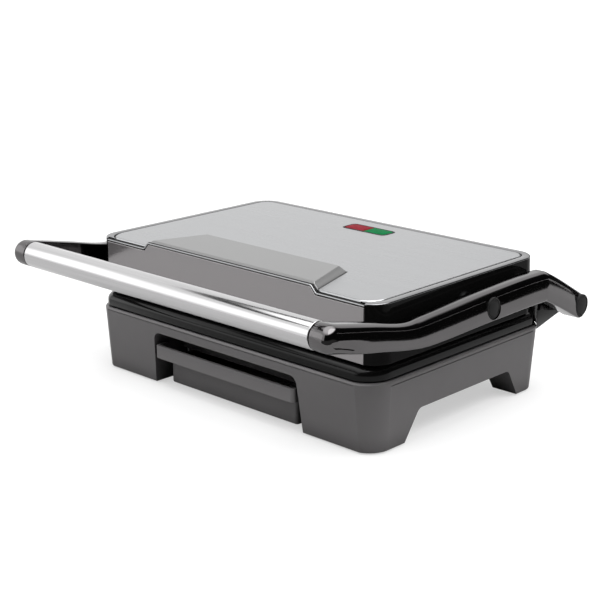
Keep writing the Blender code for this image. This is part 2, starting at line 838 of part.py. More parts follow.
def steel_top_plate():
    outline = body_outline(123.8, 114.0, 3.2, 164.2, 9.0)
    plate = prism("steel_top_plate", outline, LID_TOP_Z - 1.0, LID_TOP_Z, "brushed_steel")
    front, rear = CREST_FRONT_HALF + 0.4, CREST_REAR_HALF + 0.4
    slope = (front - rear) / CREST_REAR
    notch = [(-front - 8 * slope, -4.7), (front + 8 * slope, -4.7), (rear, 47.0), (-rear, 47.0)]
    window = window_outline(1.2, 3.0)
    cut(
        plate,
        prism("cut_crest_notch", notch, 90, 100, "brushed_steel"),
        prism("cut_plate_window", window, 90, 100, "brushed_steel"),
    )
    return plate


def window_outline(growth, radius):
    half = WINDOW_HALF + growth
    return rounded_rect(-half, half, WINDOW_Y[0] - growth, WINDOW_Y[1] + growth, radius)


def indicator_bezel():
    outer, inner = window_outline(0.9, 2.8), window_outline(0.0, 2.0)
    low, high = LID_TOP_Z - 1.0, LID_TOP_Z + 0.5
    rings = [at_height(outer, low), at_height(outer, high), at_height(inner, high), at_height(inner, low)]
    return loft("indicator_bezel", rings, "cap_matte", closed=True)


def lenses():
    made = []
    edge = WINDOW_HALF - GAP
    for name, xs in (("red_lens", (-edge, -GAP)), ("green_lens", (GAP, edge))):
        outline = rounded_rect(*xs, WINDOW_Y[0] + 0.3, WINDOW_Y[1] - 0.3, 1.6, 2)
        top = rounded_rect(xs[0] + 0.7, xs[1] - 0.7, WINDOW_Y[0] + 1.0, WINDOW_Y[1] - 1.0, 1.2, 2)
        rings = [at_height(outline, 94.4), at_height(outline, 97.9), at_height(top, 98.4)]
        made.append(loft(name, rings, name))
    return made


def neon_lamps():
    made = []
    for name, x in (("neon_lamp_red", -10.4), ("neon_lamp_green", 10.4)):
        profile = [(82.6, 1.6), (83.4, 2.6), (92.4, 2.6), (93.6, 1.4)]
        made.append(turned(name, profile, (x, 144.8, 0), "z", "lamp_glass", 12))
    return made


def lid_pivot_pins():
    """Pins fixed in the lid's side walls, with a collar that spaces the lid from the arm."""

    def build(suffix, side):
        radius = PIVOT_PIN_RADIUS
        stations = [
            (122.4, 7.0),
            (126.6, 7.0),
            (126.6, radius),
            (131.4, radius),
            (131.4, 7.0),
            (135.8, 7.0),
            (135.8, radius),
            (147.8, radius),
        ]
        profile = [(side * along, r) for along, r in stations]
        return turned(f"lid_pivot_pin_{suffix}", profile, (0, PIVOT_Y, PIVOT_Z), "x", "zinc")

    return both_sides(build)


# ---------------------------------------------------------------- handle


def smooth_path(path, steps):
    """Catmull-Rom points through the path, keeping its ends."""
    nodes = [path[0]] + list(path) + [path[-1]]
    points = []
    for i in range(1, len(nodes) - 2):
        p0, p1, p2, p3 = nodes[i - 1 : i + 3]
        for step in range(steps):
            t = step / steps
            weights = (
                (-t + 2 * t * t - t**3) / 2,
                (2 - 5 * t * t + 3 * t**3) / 2,
                (t + 4 * t * t - 3 * t**3) / 2,
                (-t * t + t**3) / 2,
            )
            points.append(tuple(sum(w * p[k] for w, p in zip(weights, (p0, p1, p2, p3))) for k in range(3)))
    points.append(path[-1])
    return points


def arm_outline():
    """Side view of an arm: a bent bar with round ends at the tube and at the hinge."""
    path = smooth_path(ARM_PATH, 2)
    top, bottom = [], []
    for i, (y, z, half) in enumerate(path):
        before, after = path[max(i - 1, 0)], path[min(i + 1, len(path) - 1)]
        heading = math.atan2(after[1] - before[1], after[0] - before[0])
        normal = (-math.sin(heading), math.cos(heading))
        top.append((y + half * normal[0], z + half * normal[1]))
        bottom.append((y - half * normal[0], z - half * normal[1]))
    front = math.atan2(top[0][1] - TUBE_Z, top[0][0] - TUBE_Y)
    rear = math.atan2(bottom[-1][1] - HINGE_Z, bottom[-1][0] - HINGE_Y)
    front_end = arc(TUBE_Y, TUBE_Z, TUBE_RADIUS, front, front + math.pi, 8)[1:-1]
    rear_end = arc(HINGE_Y, HINGE_Z, KNUCKLE_RADIUS, rear, rear + math.pi, 8)[1:-1]
    return bottom + rear_end + list(reversed(top)) + front_end


def handle_arms():
    def build(suffix, side):
        name = f"handle_arm_{suffix}"
        arm = prism_x(name, arm_outline(), *ordered(side * ARM_IN, side * ARM_OUT), "arm_gloss")
        soften(arm, ARM_EDGE)
        boss_profile = [
            (side * 122.0, 7.2),
            (side * (TUBE_HALF + GAP), 7.2),
            (side * (TUBE_HALF + GAP), TUBE_RADIUS),
            (side * 141.0, TUBE_RADIUS),
        ]
        boss = turned(f"arm_boss_{suffix}", boss_profile, (0, TUBE_Y, TUBE_Z), "x", "arm_gloss", 24)
        rod_bore = [
            (side * 120.0, TIE_ROD_RADIUS + 0.4),
            (side * (TIE_ROD_HALF + 0.6), TIE_ROD_RADIUS + 0.4),
        ]
        rod = turned(f"cut_rod_{suffix}", rod_bore, (0, TUBE_Y, TUBE_Z), "x", "arm_gloss", 12)
        join(arm, boss)
        cut(arm, rod, *arm_bores(suffix, side))
        return arm

    return both_sides(build)


def arm_bores(suffix, side):
    """Bores for the hinge and pivot pins, each with a seat for its cap."""
    tools = []
    joints = (
        ("hinge", HINGE_Y, HINGE_Z, HINGE_PIN_RADIUS + RUNNING_GAP),
        ("pivot", PIVOT_Y, PIVOT_Z, PIVOT_PIN_RADIUS + RUNNING_GAP),
    )
    for joint, y, z, radius in joints:
        profile = [
            (side * (ARM_IN - 2), radius),
            (side * CAP_SEAT_X, radius),
            (side * CAP_SEAT_X, CAP_RADIUS + GAP),
            (side * (ARM_OUT + 2), CAP_RADIUS + GAP),
        ]
        tools.append(turned(f"cut_{joint}_bore_{suffix}", profile, (0, y, z), "x", "arm_gloss"))
    return tools


def arm_caps():
    """Press-in covers over the hinge and pivot pins."""
    caps = []
    edge = 0.7
    for suffix, side in (("right", 1), ("left", -1)):
        profile = [
            (side * (CAP_SEAT_X + GAP), CAP_RADIUS),
            (side * (CAP_OUT - edge), CAP_RADIUS),
            (side * CAP_OUT, CAP_RADIUS - edge),
        ]
        for joint, y, z in (("hinge", HINGE_Y, HINGE_Z), ("pivot", PIVOT_Y, PIVOT_Z)):
            caps.append(turned(f"{joint}_cap_{suffix}", profile, (0, y, z), "x", "cap_matte"))
    return caps


def handle_tube():
    inner = TUBE_RADIUS - TUBE_WALL
    profile = [
        (-TUBE_HALF, TUBE_RADIUS),
        (TUBE_HALF, TUBE_RADIUS),
        (TUBE_HALF, inner),
        (-TUBE_HALF, inner),
    ]
    return turned("handle_tube", profile, (0, TUBE_Y, TUBE_Z), "x", "tube_steel", 28, hollow=True)


def handle_tie_rod():
    """Threaded rod inside the tube that pulls the two arms together."""
    profile = [(-TIE_ROD_HALF, TIE_ROD_RADIUS), (TIE_ROD_HALF, TIE_ROD_RADIUS)]
    return turned("handle_tie_rod", profile, (0, TUBE_Y, TUBE_Z), "x", "zinc", 12)


# ---------------------------------------------------------------- assembly


def joint_empty(name, y, z):
    empty = bpy.data.objects.new(name, None)
    empty.location = place(0, y, z)
    empty.empty_display_size = 0.02
    bpy.context.collection.objects.link(empty)
    return empty


def hang(empty, pieces):
    """Parents finished pieces to a joint's empty without moving them."""
    bpy.context.view_layer.update()
    for piece in pieces:
        piece.parent = empty
        piece.matrix_parent_inverse = empty.matrix_world.inverted()


def build_base():
    base_housing()
    base_rim()
    bottom_cover()
    foot_pads()
    cover_screws()
    cord_inlet_bushing()
    lower_grill_plate()
    heater("lower_heating_element", LOWER_PLATE_BACK_Z - GAP - HEATER_RADIUS)
    reflector("lower_reflector", 36.0, 1)
    thermostat("lower_thermostat", LOWER_PLATE_BACK_Z, 1)
    thermal_fuse()
    terminal_block()
    hinge_ears()
    hinge_pins()
    tray_rails()


def build_lid():
    pieces = [
        lid_housing(),
        lid_bottom_frame(),
        lid_front_panel(),
        lid_crest(),
        steel_top_plate(),
        indicator_bezel(),
        upper_grill_plate(),
        heater("upper_heating_element", UPPER_PLATE_BACK_Z + GAP + HEATER_RADIUS),
        reflector("upper_reflector", 79.0, -1),
        thermostat("upper_thermostat", UPPER_PLATE_BACK_Z, -1),
    ]
    pieces += lenses() + neon_lamps() + lid_pivot_pins()
    hang(joint_empty("lid_tilt_axis", PIVOT_Y, PIVOT_Z), pieces)


def build_handle():
    pieces = handle_arms() + arm_caps() + [handle_tube(), handle_tie_rod()]
    hang(joint_empty("handle_hinge_axis", HINGE_Y, HINGE_Z), pieces)


def build_tray():
    hang(joint_empty("tray_slide_axis", TRAY_FRONT, TRAY_Z[0]), [drip_tray()])


def main():
    clear_scene()
    build_base()
    build_lid()
    build_handle()
    build_tray()


main()
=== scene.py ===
"""Finished look of the panini press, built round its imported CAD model.

Lengths are in millimetres in the same design frame as the part's source: x is 0 in the middle, y runs
backwards from the lid's front face and z runs up from the table. Extents come from the CAD nodes' boxes.
"""

import json
import math

import bmesh
import bpy
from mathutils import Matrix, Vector


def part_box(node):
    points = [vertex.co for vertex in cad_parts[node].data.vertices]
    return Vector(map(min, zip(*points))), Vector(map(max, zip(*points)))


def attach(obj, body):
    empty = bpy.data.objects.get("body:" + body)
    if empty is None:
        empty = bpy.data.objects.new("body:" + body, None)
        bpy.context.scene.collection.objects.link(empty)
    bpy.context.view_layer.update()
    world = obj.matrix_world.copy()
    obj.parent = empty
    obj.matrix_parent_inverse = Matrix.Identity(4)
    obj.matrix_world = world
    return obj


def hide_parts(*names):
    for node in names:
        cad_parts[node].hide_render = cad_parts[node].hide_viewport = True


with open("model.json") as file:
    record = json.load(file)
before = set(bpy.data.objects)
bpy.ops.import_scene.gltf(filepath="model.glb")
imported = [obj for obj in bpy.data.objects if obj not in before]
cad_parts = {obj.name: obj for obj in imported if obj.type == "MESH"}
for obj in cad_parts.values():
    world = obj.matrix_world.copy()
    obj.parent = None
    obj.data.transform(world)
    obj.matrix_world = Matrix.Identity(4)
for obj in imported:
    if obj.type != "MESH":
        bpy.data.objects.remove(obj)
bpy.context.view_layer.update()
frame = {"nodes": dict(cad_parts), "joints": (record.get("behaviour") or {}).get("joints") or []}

MM = 0.001
FRONT_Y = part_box("lid_front_panel")[0].y
QUARTER = math.pi / 2
SIDES = (("right", 1), ("left", -1))
CORNERS = ("front_right", "front_left", "rear_right", "rear_left")


def place(x, y, z):
    """A design point in millimetres as a world point in metres."""
    return (x * MM, FRONT_Y + y * MM, z * MM)


def extent(node):
    """((x0, x1), (y0, y1), (z0, z1)) of a CAD node in design millimetres."""
    low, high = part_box(node)
    return (
        (low.x / MM, high.x / MM),
        ((low.y - FRONT_Y) / MM, (high.y - FRONT_Y) / MM),
        (low.z / MM, high.z / MM),
    )


def joint_place(name):
    """(y, z) of a hinge's axis in design millimetres."""
    joint = next(j for j in frame["joints"] if j["name"] == name)
    return (joint["pos_m"][1] - FRONT_Y) / MM, joint["pos_m"][2] / MM


# ---------------------------------------------------------------- sizes read from the frame

BASE_X, BASE_Y, BASE_Z = extent("base_housing")
RIM_X, _, RIM_Z = extent("base_rim")
LID_X, LID_Y, LID_Z = extent("lid_housing")
PANEL_X, PANEL_Y, PANEL_Z = extent("lid_front_panel")
CREST_X, CREST_Y, CREST_Z = extent("lid_crest")
STEEL_X, STEEL_Y, STEEL_Z = extent("steel_top_plate")
WINDOW_X, WINDOW_Y, WINDOW_Z = extent("indicator_bezel")
TUBE_X, TUBE_Y, TUBE_Z = extent("handle_tube")
ARM_X = extent("handle_arm_right")[0]
TRAY_X, TRAY_Y, TRAY_Z = extent("drip_tray")
PLATE_X, PLATE_Y, PLATE_Z = extent("lower_grill_plate")
UPPER_Z = extent("upper_grill_plate")[2]
HINGE_Y, HINGE_Z = joint_place("handle_hinge")
PIVOT_Y, PIVOT_Z = joint_place("lid_tilt")
HINGE_AT, PIVOT_AT = (0, HINGE_Y, HINGE_Z), (0, PIVOT_Y, PIVOT_Z)

TUBE_RADIUS = (TUBE_Z[1] - TUBE_Z[0]) / 2
TUBE_MID = (TUBE_Y[0] + TUBE_RADIUS, TUBE_Z[0] + TUBE_RADIUS)
CORNER_SWEEP = math.radians(70)
CORNER_STEPS = 16


# ---------------------------------------------------------------- outlines


def arc(cx, cy, radius, start, end, steps):
    """Points on a circle from one angle to another, both ends included."""
    turns = [start + (end - start) * i / steps for i in range(steps + 1)]
    return [(cx + radius * math.cos(t), cy + radius * math.sin(t)) for t in turns]


def turns(steps):
    """Angles from 0 to a quarter turn."""
    return [step / steps * QUARTER for step in range(steps + 1)]


def rounded_rect(x0, x1, y0, y1, radius, inset=0.0):
    """The rectangle drawn in by the inset, with corners of the given radius."""
    x0, x1, y0, y1 = x0 + inset, x1 - inset, y0 + inset, y1 - inset
    corners = [
        (x1 - radius, y0 + radius, -QUARTER),
        (x1 - radius, y1 - radius, 0.0),
        (x0 + radius, y1 - radius, QUARTER),
        (x0 + radius, y0 + radius, 2 * QUARTER),
    ]
    points = []
    for cx, cy, start in corners:
        points += arc(cx, cy, radius, start, start + QUARTER, 8)
    return points


def mirrored(right):
    return right + [(-x, y) for x, y in reversed(right)]


def body_outline(half, crease, front, rear, rear_radius, inset=0.0):
    """Plan of the base or the lid: a flat front ending in a crease, then round corners."""
    half, crease = half - inset, crease - 0.8 * inset
    front, rear = front + inset, rear - inset
    rear_radius -= inset
    radius = (half - crease) / (1 - math.cos(CORNER_SWEEP))
    corner_y = front + radius * math.sin(CORNER_SWEEP)
    right = arc(half - radius, corner_y, radius, -CORNER_SWEEP, 0.0, CORNER_STEPS)
    right += arc(half - rear_radius, rear - rear_radius, rear_radius, 0.0, QUARTER, CORNER_STEPS)
    return mirrored(right)


def level(plan, inset, z):
    """A body outline at a height."""
    return at_height(body_outline(**plan, inset=inset), z)


def plate_outline(clearance=0.0):
    """Rounded rectangle of a grill plate, with as many points as a body outline."""
    radius = 8.0 + clearance
    half = PLATE_X[1] + clearance
    front, rear = PLATE_Y[0] - clearance, PLATE_Y[1] + clearance
    right = arc(half - radius, front + radius, radius, -QUARTER, 0, CORNER_STEPS)
    right += arc(half - radius, rear - radius, radius, 0, QUARTER, CORNER_STEPS)
    return mirrored(right)


def at_height(outline, z):
    return [(x, y, z) for x, y in outline]


def on_side(side, profile):
    """A profile of (distance from the middle, radius) pairs, to the right (1) or the left (-1)."""
    return [(side * along, radius) for along, radius in profile]


def ordered(a, b):
    return (min(a, b), max(a, b))


# ---------------------------------------------------------------- meshes


def linked(name, data):
    obj = bpy.data.objects.new(name, data)
    bpy.context.collection.objects.link(obj)
    return obj


def shade(mesh, sharp_angle):
    """Smooth shading, broken at edges sharper than an angle in degrees."""
    mesh.shade_smooth()
    mesh.set_sharp_from_angle(angle=math.radians(sharp_angle))


def new_object(name, points, faces, smooth_angle=30):
    """A closed mesh from design points, with its faces turned outwards."""
    mesh = bpy.data.meshes.new(name)
    mesh.from_pydata([place(*p) for p in points], [], faces)
    shape = bmesh.new()
    shape.from_mesh(mesh)
    bmesh.ops.remove_doubles(shape, verts=shape.verts, dist=1e-6)
    bmesh.ops.recalc_face_normals(shape, faces=shape.faces)
    shape.to_mesh(mesh)
    shape.free()
    shade(mesh, smooth_angle)
    return linked(name, mesh)


def loft(name, rings, closed=False, smooth_angle=30):
    """Skin through rings of equal length. A closed loft is ring-shaped and has no caps."""
    count = len(rings[0])
    points = [p for ring in rings for p in ring]
    faces = []
    for i in range(len(rings) if closed else len(rings) - 1):
        low, high = i * count, (i + 1) % len(rings) * count
        for j in range(count):
            k = (j + 1) % count
            faces.append((low + j, low + k, high + k, high + j))
    if not closed:
        faces.append(tuple(range(count)))
        faces.append(tuple(range(len(points) - count, len(points))))
    return new_object(name, points, faces, smooth_angle)


def prism(name, outline, z0, z1):
    return loft(name, [at_height(outline, z0), at_height(outline, z1)])


def prism_x(name, outline_yz, x0, x1):
    return loft(name, [[(x, y, z) for y, z in outline_yz] for x in (x0, x1)])


def prism_y(name, outline_xz, y0, y1):
    return loft(name, [[(x, y, z) for x, z in outline_xz] for y in (y0, y1)])


def box(name, xs, ys, zs):
    x0, x1 = xs
    y0, y1 = ys
    return prism(name, [(x0, y0), (x1, y0), (x1, y1), (x0, y1)], *zs)


def turned(name, profile, centre, axis, segments=48, hollow=False):
    """A turned body. The profile holds (position along the axis, radius) pairs."""
    rings = []
    for along, radius in profile:
        ring = []
        for a, b in arc(0, 0, radius, 0, 4 * QUARTER, segments)[:-1]:
            offset = {"x": (along, a, b), "y": (a, along, b), "z": (a, b, along)}[axis]
            ring.append(tuple(c + o for c, o in zip(centre, offset)))
        rings.append(ring)
    return loft(name, rings, closed=hollow)


def apply_modifiers(obj):
    """Bakes an object's modifiers into its mesh."""
    graph = bpy.context.evaluated_depsgraph_get()
    mesh = bpy.data.meshes.new_from_object(obj.evaluated_get(graph))
    obj.modifiers.clear()
    obj.data = mesh


def carve(target, cutters=(), additions=()):
    """Joins and cuts with exact Booleans, then removes the tools."""
    for tools, operation in ((additions, "UNION"), (cutters, "DIFFERENCE")):
        for tool in tools:
            modifier = target.modifiers.new(tool.name, "BOOLEAN")
            modifier.operation = operation
            modifier.solver = "EXACT"
            modifier.object = tool
    apply_modifiers(target)
    for tool in (*cutters, *additions):
        bpy.data.objects.remove(tool, do_unlink=True)
    return target


def ease(obj, width, segments=2, angle=40, smooth_angle=35):
    """Rounds an object's sharp edges."""
    modifier = obj.modifiers.new("edges", "BEVEL")
    modifier.width = width * MM
    modifier.segments = segments
    modifier.limit_method = "ANGLE"
    modifier.angle_limit = math.radians(angle)
    modifier.use_clamp_overlap = True
    apply_modifiers(obj)
    even_shading(obj, smooth_angle)
    return obj


def even_shading(obj, smooth_angle):
    """Smooth shading that large flat faces keep flat, with sharp edges above an angle."""
    shade(obj.data, smooth_angle)
    weighted = obj.modifiers.new("weighted", "WEIGHTED_NORMAL")
    weighted.keep_sharp = True
    weighted.weight = 80
    apply_modifiers(obj)


# ---------------------------------------------------------------- materials


def scaled(colour, factor, lift=0.0):
    return tuple(factor * c + lift for c in colour)


class Finish:
    """A Principled material and the few texture nodes that its pattern needs."""

    def __init__(self, name, colour, metallic, roughness, **sockets):
        self.material = bpy.data.materials.new(name)
        self.material.use_nodes = True
        self.tree = self.material.node_tree
        self.shader = self.tree.nodes["Principled BSDF"]
        self.shader.inputs["Base Color"].default_value = (*colour, 1.0)
        self.shader.inputs["Metallic"].default_value = metallic
        self.shader.inputs["Roughness"].default_value = roughness
        for label, value in sockets.items():
            self.shader.inputs[label.replace("_", " ")].default_value = value

    def node(self, kind, **inputs):
        made = self.tree.nodes.new(kind)
        for label, value in inputs.items():
            socket = made.inputs[label.replace("_", " ")]
            if isinstance(value, bpy.types.NodeSocket):
                self.tree.links.new(value, socket)
            else:
                socket.default_value = value
        return made

    def grain(self, scale, detail=3.0, stretch=(1, 1, 1)):
        """Noise in the object's own space. Stretch multiplies the frequency along each axis."""
        where = self.node("ShaderNodeTexCoord").outputs["Object"]
        mapped = self.node("ShaderNodeMapping", Vector=where, Scale=stretch)
        noise = self.node("ShaderNodeTexNoise", Scale=scale, Detail=detail, Roughness=0.55)
        self.tree.links.new(mapped.outputs["Vector"], noise.inputs["Vector"])
        return noise.outputs["Fac"]

    def between(self, value, low, high, start=0.3, end=0.7):
        """The value's range from start to end, mapped on to low to high."""
        limits = dict(From_Min=start, From_Max=end, To_Min=low, To_Max=high)
        return self.node("ShaderNodeMapRange", Value=value, **limits).outputs["Result"]

    def blend(self, factor, first, second):
        made = self.tree.nodes.new("ShaderNodeMix")
        made.data_type = "RGBA"
        for socket, value in zip([s for s in made.inputs if s.type == "RGBA"], (first, second)):
            if isinstance(value, bpy.types.NodeSocket):
                self.tree.links.new(value, socket)
            else:
                socket.default_value = (*value, 1.0)
        self.tree.links.new(factor, made.inputs[0])
        return next(s for s in made.outputs if s.type == "RGBA")

    def varied(self, noise, first, second, share=1.0):
        """The first colour, with up to that share of the second where the noise is high."""
        return self.blend(self.between(noise, 0.0, share), first, second)

    def worn_edges(self, share):
        """The given share along convex edges, 0 elsewhere."""
        pointiness = self.node("ShaderNodeNewGeometry").outputs["Pointiness"]
        return self.between(pointiness, 0.0, share, 0.53, 0.62)

    def painted_shade_mask(self, reach_mm):
        """1 on open faces, falling to 0 deep in recesses: the mask for painted shade that darkens recesses.
        """
        shade = self.node("ShaderNodeAmbientOcclusion", Distance=reach_mm * MM)
        shade.samples = 8
        return self.between(shade.outputs["AO"], 0.0, 1.0, 0.25, 0.72)

    def drive(self, label, value):
        self.tree.links.new(value, self.shader.inputs[label])

    def bump(self, height, strength, depth_mm):
        made = self.node("ShaderNodeBump", Height=height, Strength=strength, Distance=depth_mm * MM)
        self.drive("Normal", made.outputs["Normal"])

    def dressed(self, colour, roughness, relief):
        """The material with its colour, (noise, low, high) roughness and (noise, strength, mm) relief."""
        self.drive("Base Color", colour)
        self.drive("Roughness", self.between(*roughness))
        self.bump(*relief)
        return self.material


def brushed_steel(name, colour, roughness, along, scale=900):
    """Sheet steel brushed along one axis, with faint longer streaks."""
    finish = Finish(name, colour, 1.0, roughness)
    fine = [1.0, 1.0, 1.0]
    fine["xyz".index(along)] = 0.012
    long = [0.16, 0.16, 0.16]
    long["xyz".index(along)] = 0.004
    brushing = finish.grain(scale, 4.0, fine)
    streaks = finish.grain(scale, 2.0, long)
    dark = scaled(colour, 0.92)
    light = scaled(colour, 1.05)
    tone = finish.varied(brushing, dark, light)
    colours = finish.varied(streaks, tone, light, 0.35)
    return finish.dressed(colours, (brushing, roughness * 0.85, roughness * 1.2), (brushing, 0.5, 0.004))


def moulded(name, colour, roughness, texture, **sockets):
    """Moulded plastic with a fine spark-eroded texture, slightly rubbed edges and painted shade that darkens
    its recesses.
    """
    finish = Finish(name, colour, 0.0, roughness, **sockets)
    fine = finish.grain(2600, 2.0)
    cloud = finish.grain(38, 3.0)
    rubbed = scaled(colour, 1.6, 0.004)
    shaded = scaled(colour, 0.94)
    tone = finish.varied(cloud, shaded, colour)
    worn = finish.blend(finish.worn_edges(0.25), tone, rubbed)
    # Painted shade: deep in recesses the colour falls to 0.3 of itself.
    recess_shade_colour = scaled(colour, 0.3)
    colours = finish.blend(finish.painted_shade_mask(26.0), recess_shade_colour, worn)
    return finish.dressed(colours, (fine, roughness * 0.9, roughness * 1.12), (fine, 0.6, texture))


def gloss(name, colour, roughness, metallic=0.0, smudge=0.04, **sockets):
    """High-gloss moulding with faint wiping marks and a trace of orange peel."""
    finish = Finish(name, colour, metallic, roughness, **sockets)
    wipe = finish.grain(60, 4.0, (1.0, 0.35, 1.0))
    peel = finish.grain(420, 1.0)
    warm = scaled(colour, 1.12, 0.0008)
    colours = finish.varied(wipe, colour, warm)
    return finish.dressed(colours, (wipe, roughness, roughness + smudge), (peel, 0.12, 0.01))


def satin_paint(name, colour, roughness, metallic, **sockets):
    """Sprayed metallic paint: a fine flake and a soft mottle."""
    finish = Finish(name, colour, metallic, roughness, **sockets)
    flake = finish.grain(5200, 1.0)
    mottle = finish.grain(24, 2.0)
    dark, light = scaled(colour, 0.96), scaled(colour, 1.04)
    tone = finish.varied(flake, dark, light)
    colours = finish.varied(mottle, tone, colour, 0.5)
    return finish.dressed(colours, (flake, roughness * 0.92, roughness * 1.08), (flake, 0.15, 0.003))


def nonstick_coating(name):
    """Dark coating with pale mineral specks over cast aluminium, with painted shade that darkens its
    hollows.
    """
    finish = Finish(name, (0.020, 0.020, 0.021), 0.1, 0.42)
    pebble = finish.grain(1500, 3.0)
    specks = finish.grain(2900, 0.0)
    tone = finish.varied(pebble, (0.016, 0.016, 0.017), (0.030, 0.030, 0.031))
    coat = finish.blend(finish.between(specks, 0.0, 1.0, 0.70, 0.74), tone, (0.14, 0.14, 0.14))
    # Painted shade: the coating turns near-black deep in the hollows between the ribs and round the spout.
    colours = finish.blend(finish.painted_shade_mask(12.0), (0.006, 0.006, 0.006), coat)
    return finish.dressed(colours, (pebble, 0.36, 0.50), (pebble, 0.5, 0.02))


def bright_metal(name, colour, roughness, scale=260):
    """Plated or pressed metal with a faint cloudiness."""
    finish = Finish(name, colour, 1.0, roughness)
    cloud = finish.grain(scale, 4.0)
    dull = scaled(colour, 0.82)
    colours = finish.varied(cloud, dull, colour)
    return finish.dressed(colours, (cloud, roughness * 0.8, roughness * 1.3), (cloud, 0.2, 0.01))


def heated_sheath(name):
    """Heater sheath, tinted brown and blue in patches by its own heat."""
    finish = Finish(name, (0.22, 0.215, 0.205), 1.0, 0.45)
    patches = finish.grain(30, 3.0)
    scale_marks = finish.grain(700, 3.0)
    tint = finish.varied(patches, (0.26, 0.20, 0.14), (0.16, 0.18, 0.22))
    return finish.dressed(tint, (scale_marks, 0.38, 0.6), (scale_marks, 0.3, 0.01))


def fired_ceramic(name):
    finish = Finish(name, (0.78, 0.76, 0.70), 0.0, 0.55)
    body = finish.grain(900, 4.0)
    stains = finish.grain(90, 3.0)
    tone = finish.varied(body, (0.72, 0.70, 0.63), (0.82, 0.80, 0.75))
    finish.drive("Base Color", finish.varied(stains, tone, (0.60, 0.55, 0.46), 0.4))
    finish.bump(body, 0.4, 0.02)
    return finish.material


def soft_rubber(name):
    finish = Finish(name, (0.015, 0.015, 0.015), 0.0, 0.8)
    skin = finish.grain(1400, 4.0)
    dust = finish.grain(110, 3.0)
    colours = finish.varied(dust, (0.012, 0.012, 0.012), (0.026, 0.025, 0.024))
    return finish.dressed(colours, (skin, 0.7, 0.9), (skin, 0.5, 0.03))


def lens_plastic(name, colour, deep):
    """Translucent moulding with fine optical ribs below a polished face."""
    finish = Finish(name, colour, 0.0, 0.3, IOR=1.035)
    cloud = finish.grain(220, 2.0)
    ribs = finish.grain(1500, 0.0, (1.0, 0.02, 1.0))
    return finish.dressed(finish.varied(cloud, deep, colour), (ribs, 0.22, 0.35), (ribs, 0.25, 0.02))


def lamp_glass(name):
    finish = Finish(name, (0.85, 0.80, 0.72), 0.0, 0.05, Transmission_Weight=0.9)
    film = finish.grain(300, 3.0)
    finish.drive("Base Color", finish.varied(film, (0.90, 0.84, 0.74), (0.80, 0.77, 0.72)))
    finish.drive("Roughness", finish.between(film, 0.04, 0.12))
    return finish.material


MATERIALS = {
    "base_shell": moulded("base_shell", (0.128, 0.123, 0.125), 0.40, 0.012, IOR=1.42),
    "gloss_black": gloss("gloss_black", (0.0036, 0.0036, 0.0036), 0.07, IOR=1.28),
    "lid_gloss": gloss("lid_gloss", (0.0030, 0.0030, 0.0030), 0.06, IOR=1.33, Specular_IOR_Level=0.12),
    "arm_gloss": gloss("arm_gloss", (0.137, 0.132, 0.134), 0.08, metallic=1.0, smudge=0.03),
    "trim_grey": gloss("trim_grey", (0.205, 0.205, 0.21), 0.16, metallic=1.0, smudge=0.03),
    "panel_paint": satin_paint("panel_paint", (0.303, 0.290, 0.294), 0.17, 0.7),
    "crest_paint": satin_paint("crest_paint", (0.27, 0.27, 0.27), 0.34, 0.85),
    "brushed_steel": brushed_steel("brushed_steel", (0.412, 0.417, 0.425), 0.30, "x"),
    "tube_steel": brushed_steel("tube_steel", (0.58, 0.575, 0.58), 0.12, "x", 1100),
    "cap_matte": moulded("cap_matte", (0.007, 0.0068, 0.007), 0.34, 0.008, IOR=1.22),
    "nonstick": nonstick_coating("nonstick"),
    "heater_steel": heated_sheath("heater_steel"),
    "reflector": bright_metal("reflector", (0.70, 0.71, 0.72), 0.25),
    "zinc": bright_metal("zinc", (0.45, 0.46, 0.47), 0.33, 500),
    "ceramic": fired_ceramic("ceramic"),
    "rubber": soft_rubber("rubber"),
    "tray_shell": moulded("tray_shell", (0.128, 0.123, 0.125), 0.42, 0.012, IOR=1.42),
    "red_lens": lens_plastic("red_lens", (0.185, 0.016, 0.024), (0.15, 0.010, 0.016)),
    "green_lens": lens_plastic("green_lens", (0.000, 0.125, 0.037), (0.000, 0.100, 0.028)),
    "lamp_glass": lamp_glass("lamp_glass"),
}


def finish_piece(obj, body, slot, *nodes):
    """Gives a piece its material, its body, and the CAD nodes that it stands for."""
    obj.data.materials.clear()
    obj.data.materials.append(MATERIALS[slot])
    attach(obj, body)
    if nodes:
        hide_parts(*nodes)
    return obj


# ---------------------------------------------------------------- base

BASE_HIGH = dict(half=BASE_X[1], crease=117.7, front=BASE_Y[0], rear=BASE_Y[1], rear_radius=16.0)
BASE_LOW = dict(
    half=BASE_X[1] - 2.4,
    crease=118.8,
    front=BASE_Y[0] + 4.4,
    rear=BASE_Y[1] - 3.4,
    rear_radius=14.0,
)
SKIRT_Z = 21.4
FRONT_LEG_INNER, FRONT_LEG_DRAFT, FRONT_LEG_BACK = 68.4, 3.0, 30.2
REAR_LEG_INNER, REAR_LEG_FRONT = 109.0, 153.2
LEG_SLANT = 13.4
CHUTE_TOP_Z, CHUTE_RADIUS, CHUTE_BACK = 39.2, 6.0, 24.0
BAY_FRONT, BAY_FLOOR_Z = 27.0, 27.0
COVER_SEAT_Z = 24.2
HATCH_X, HATCH_Y, HATCH_RADIUS = (-101, 101), (54, 158), 10
SPOUT_SLOT_X, SPOUT_SLOT_Y = (-10, 10), (14.8, 23.8)


def base_plan(z, inset=0.0):
    """The base's plan at a height, between its plans at the legs' feet and at the shoulder."""
    share = (z - BASE_Z[0]) / (BASE_Z[1] - BASE_Z[0])
    plan = {key: BASE_LOW[key] + share * (BASE_HIGH[key] - BASE_LOW[key]) for key in BASE_LOW}
    return body_outline(**plan, inset=inset)


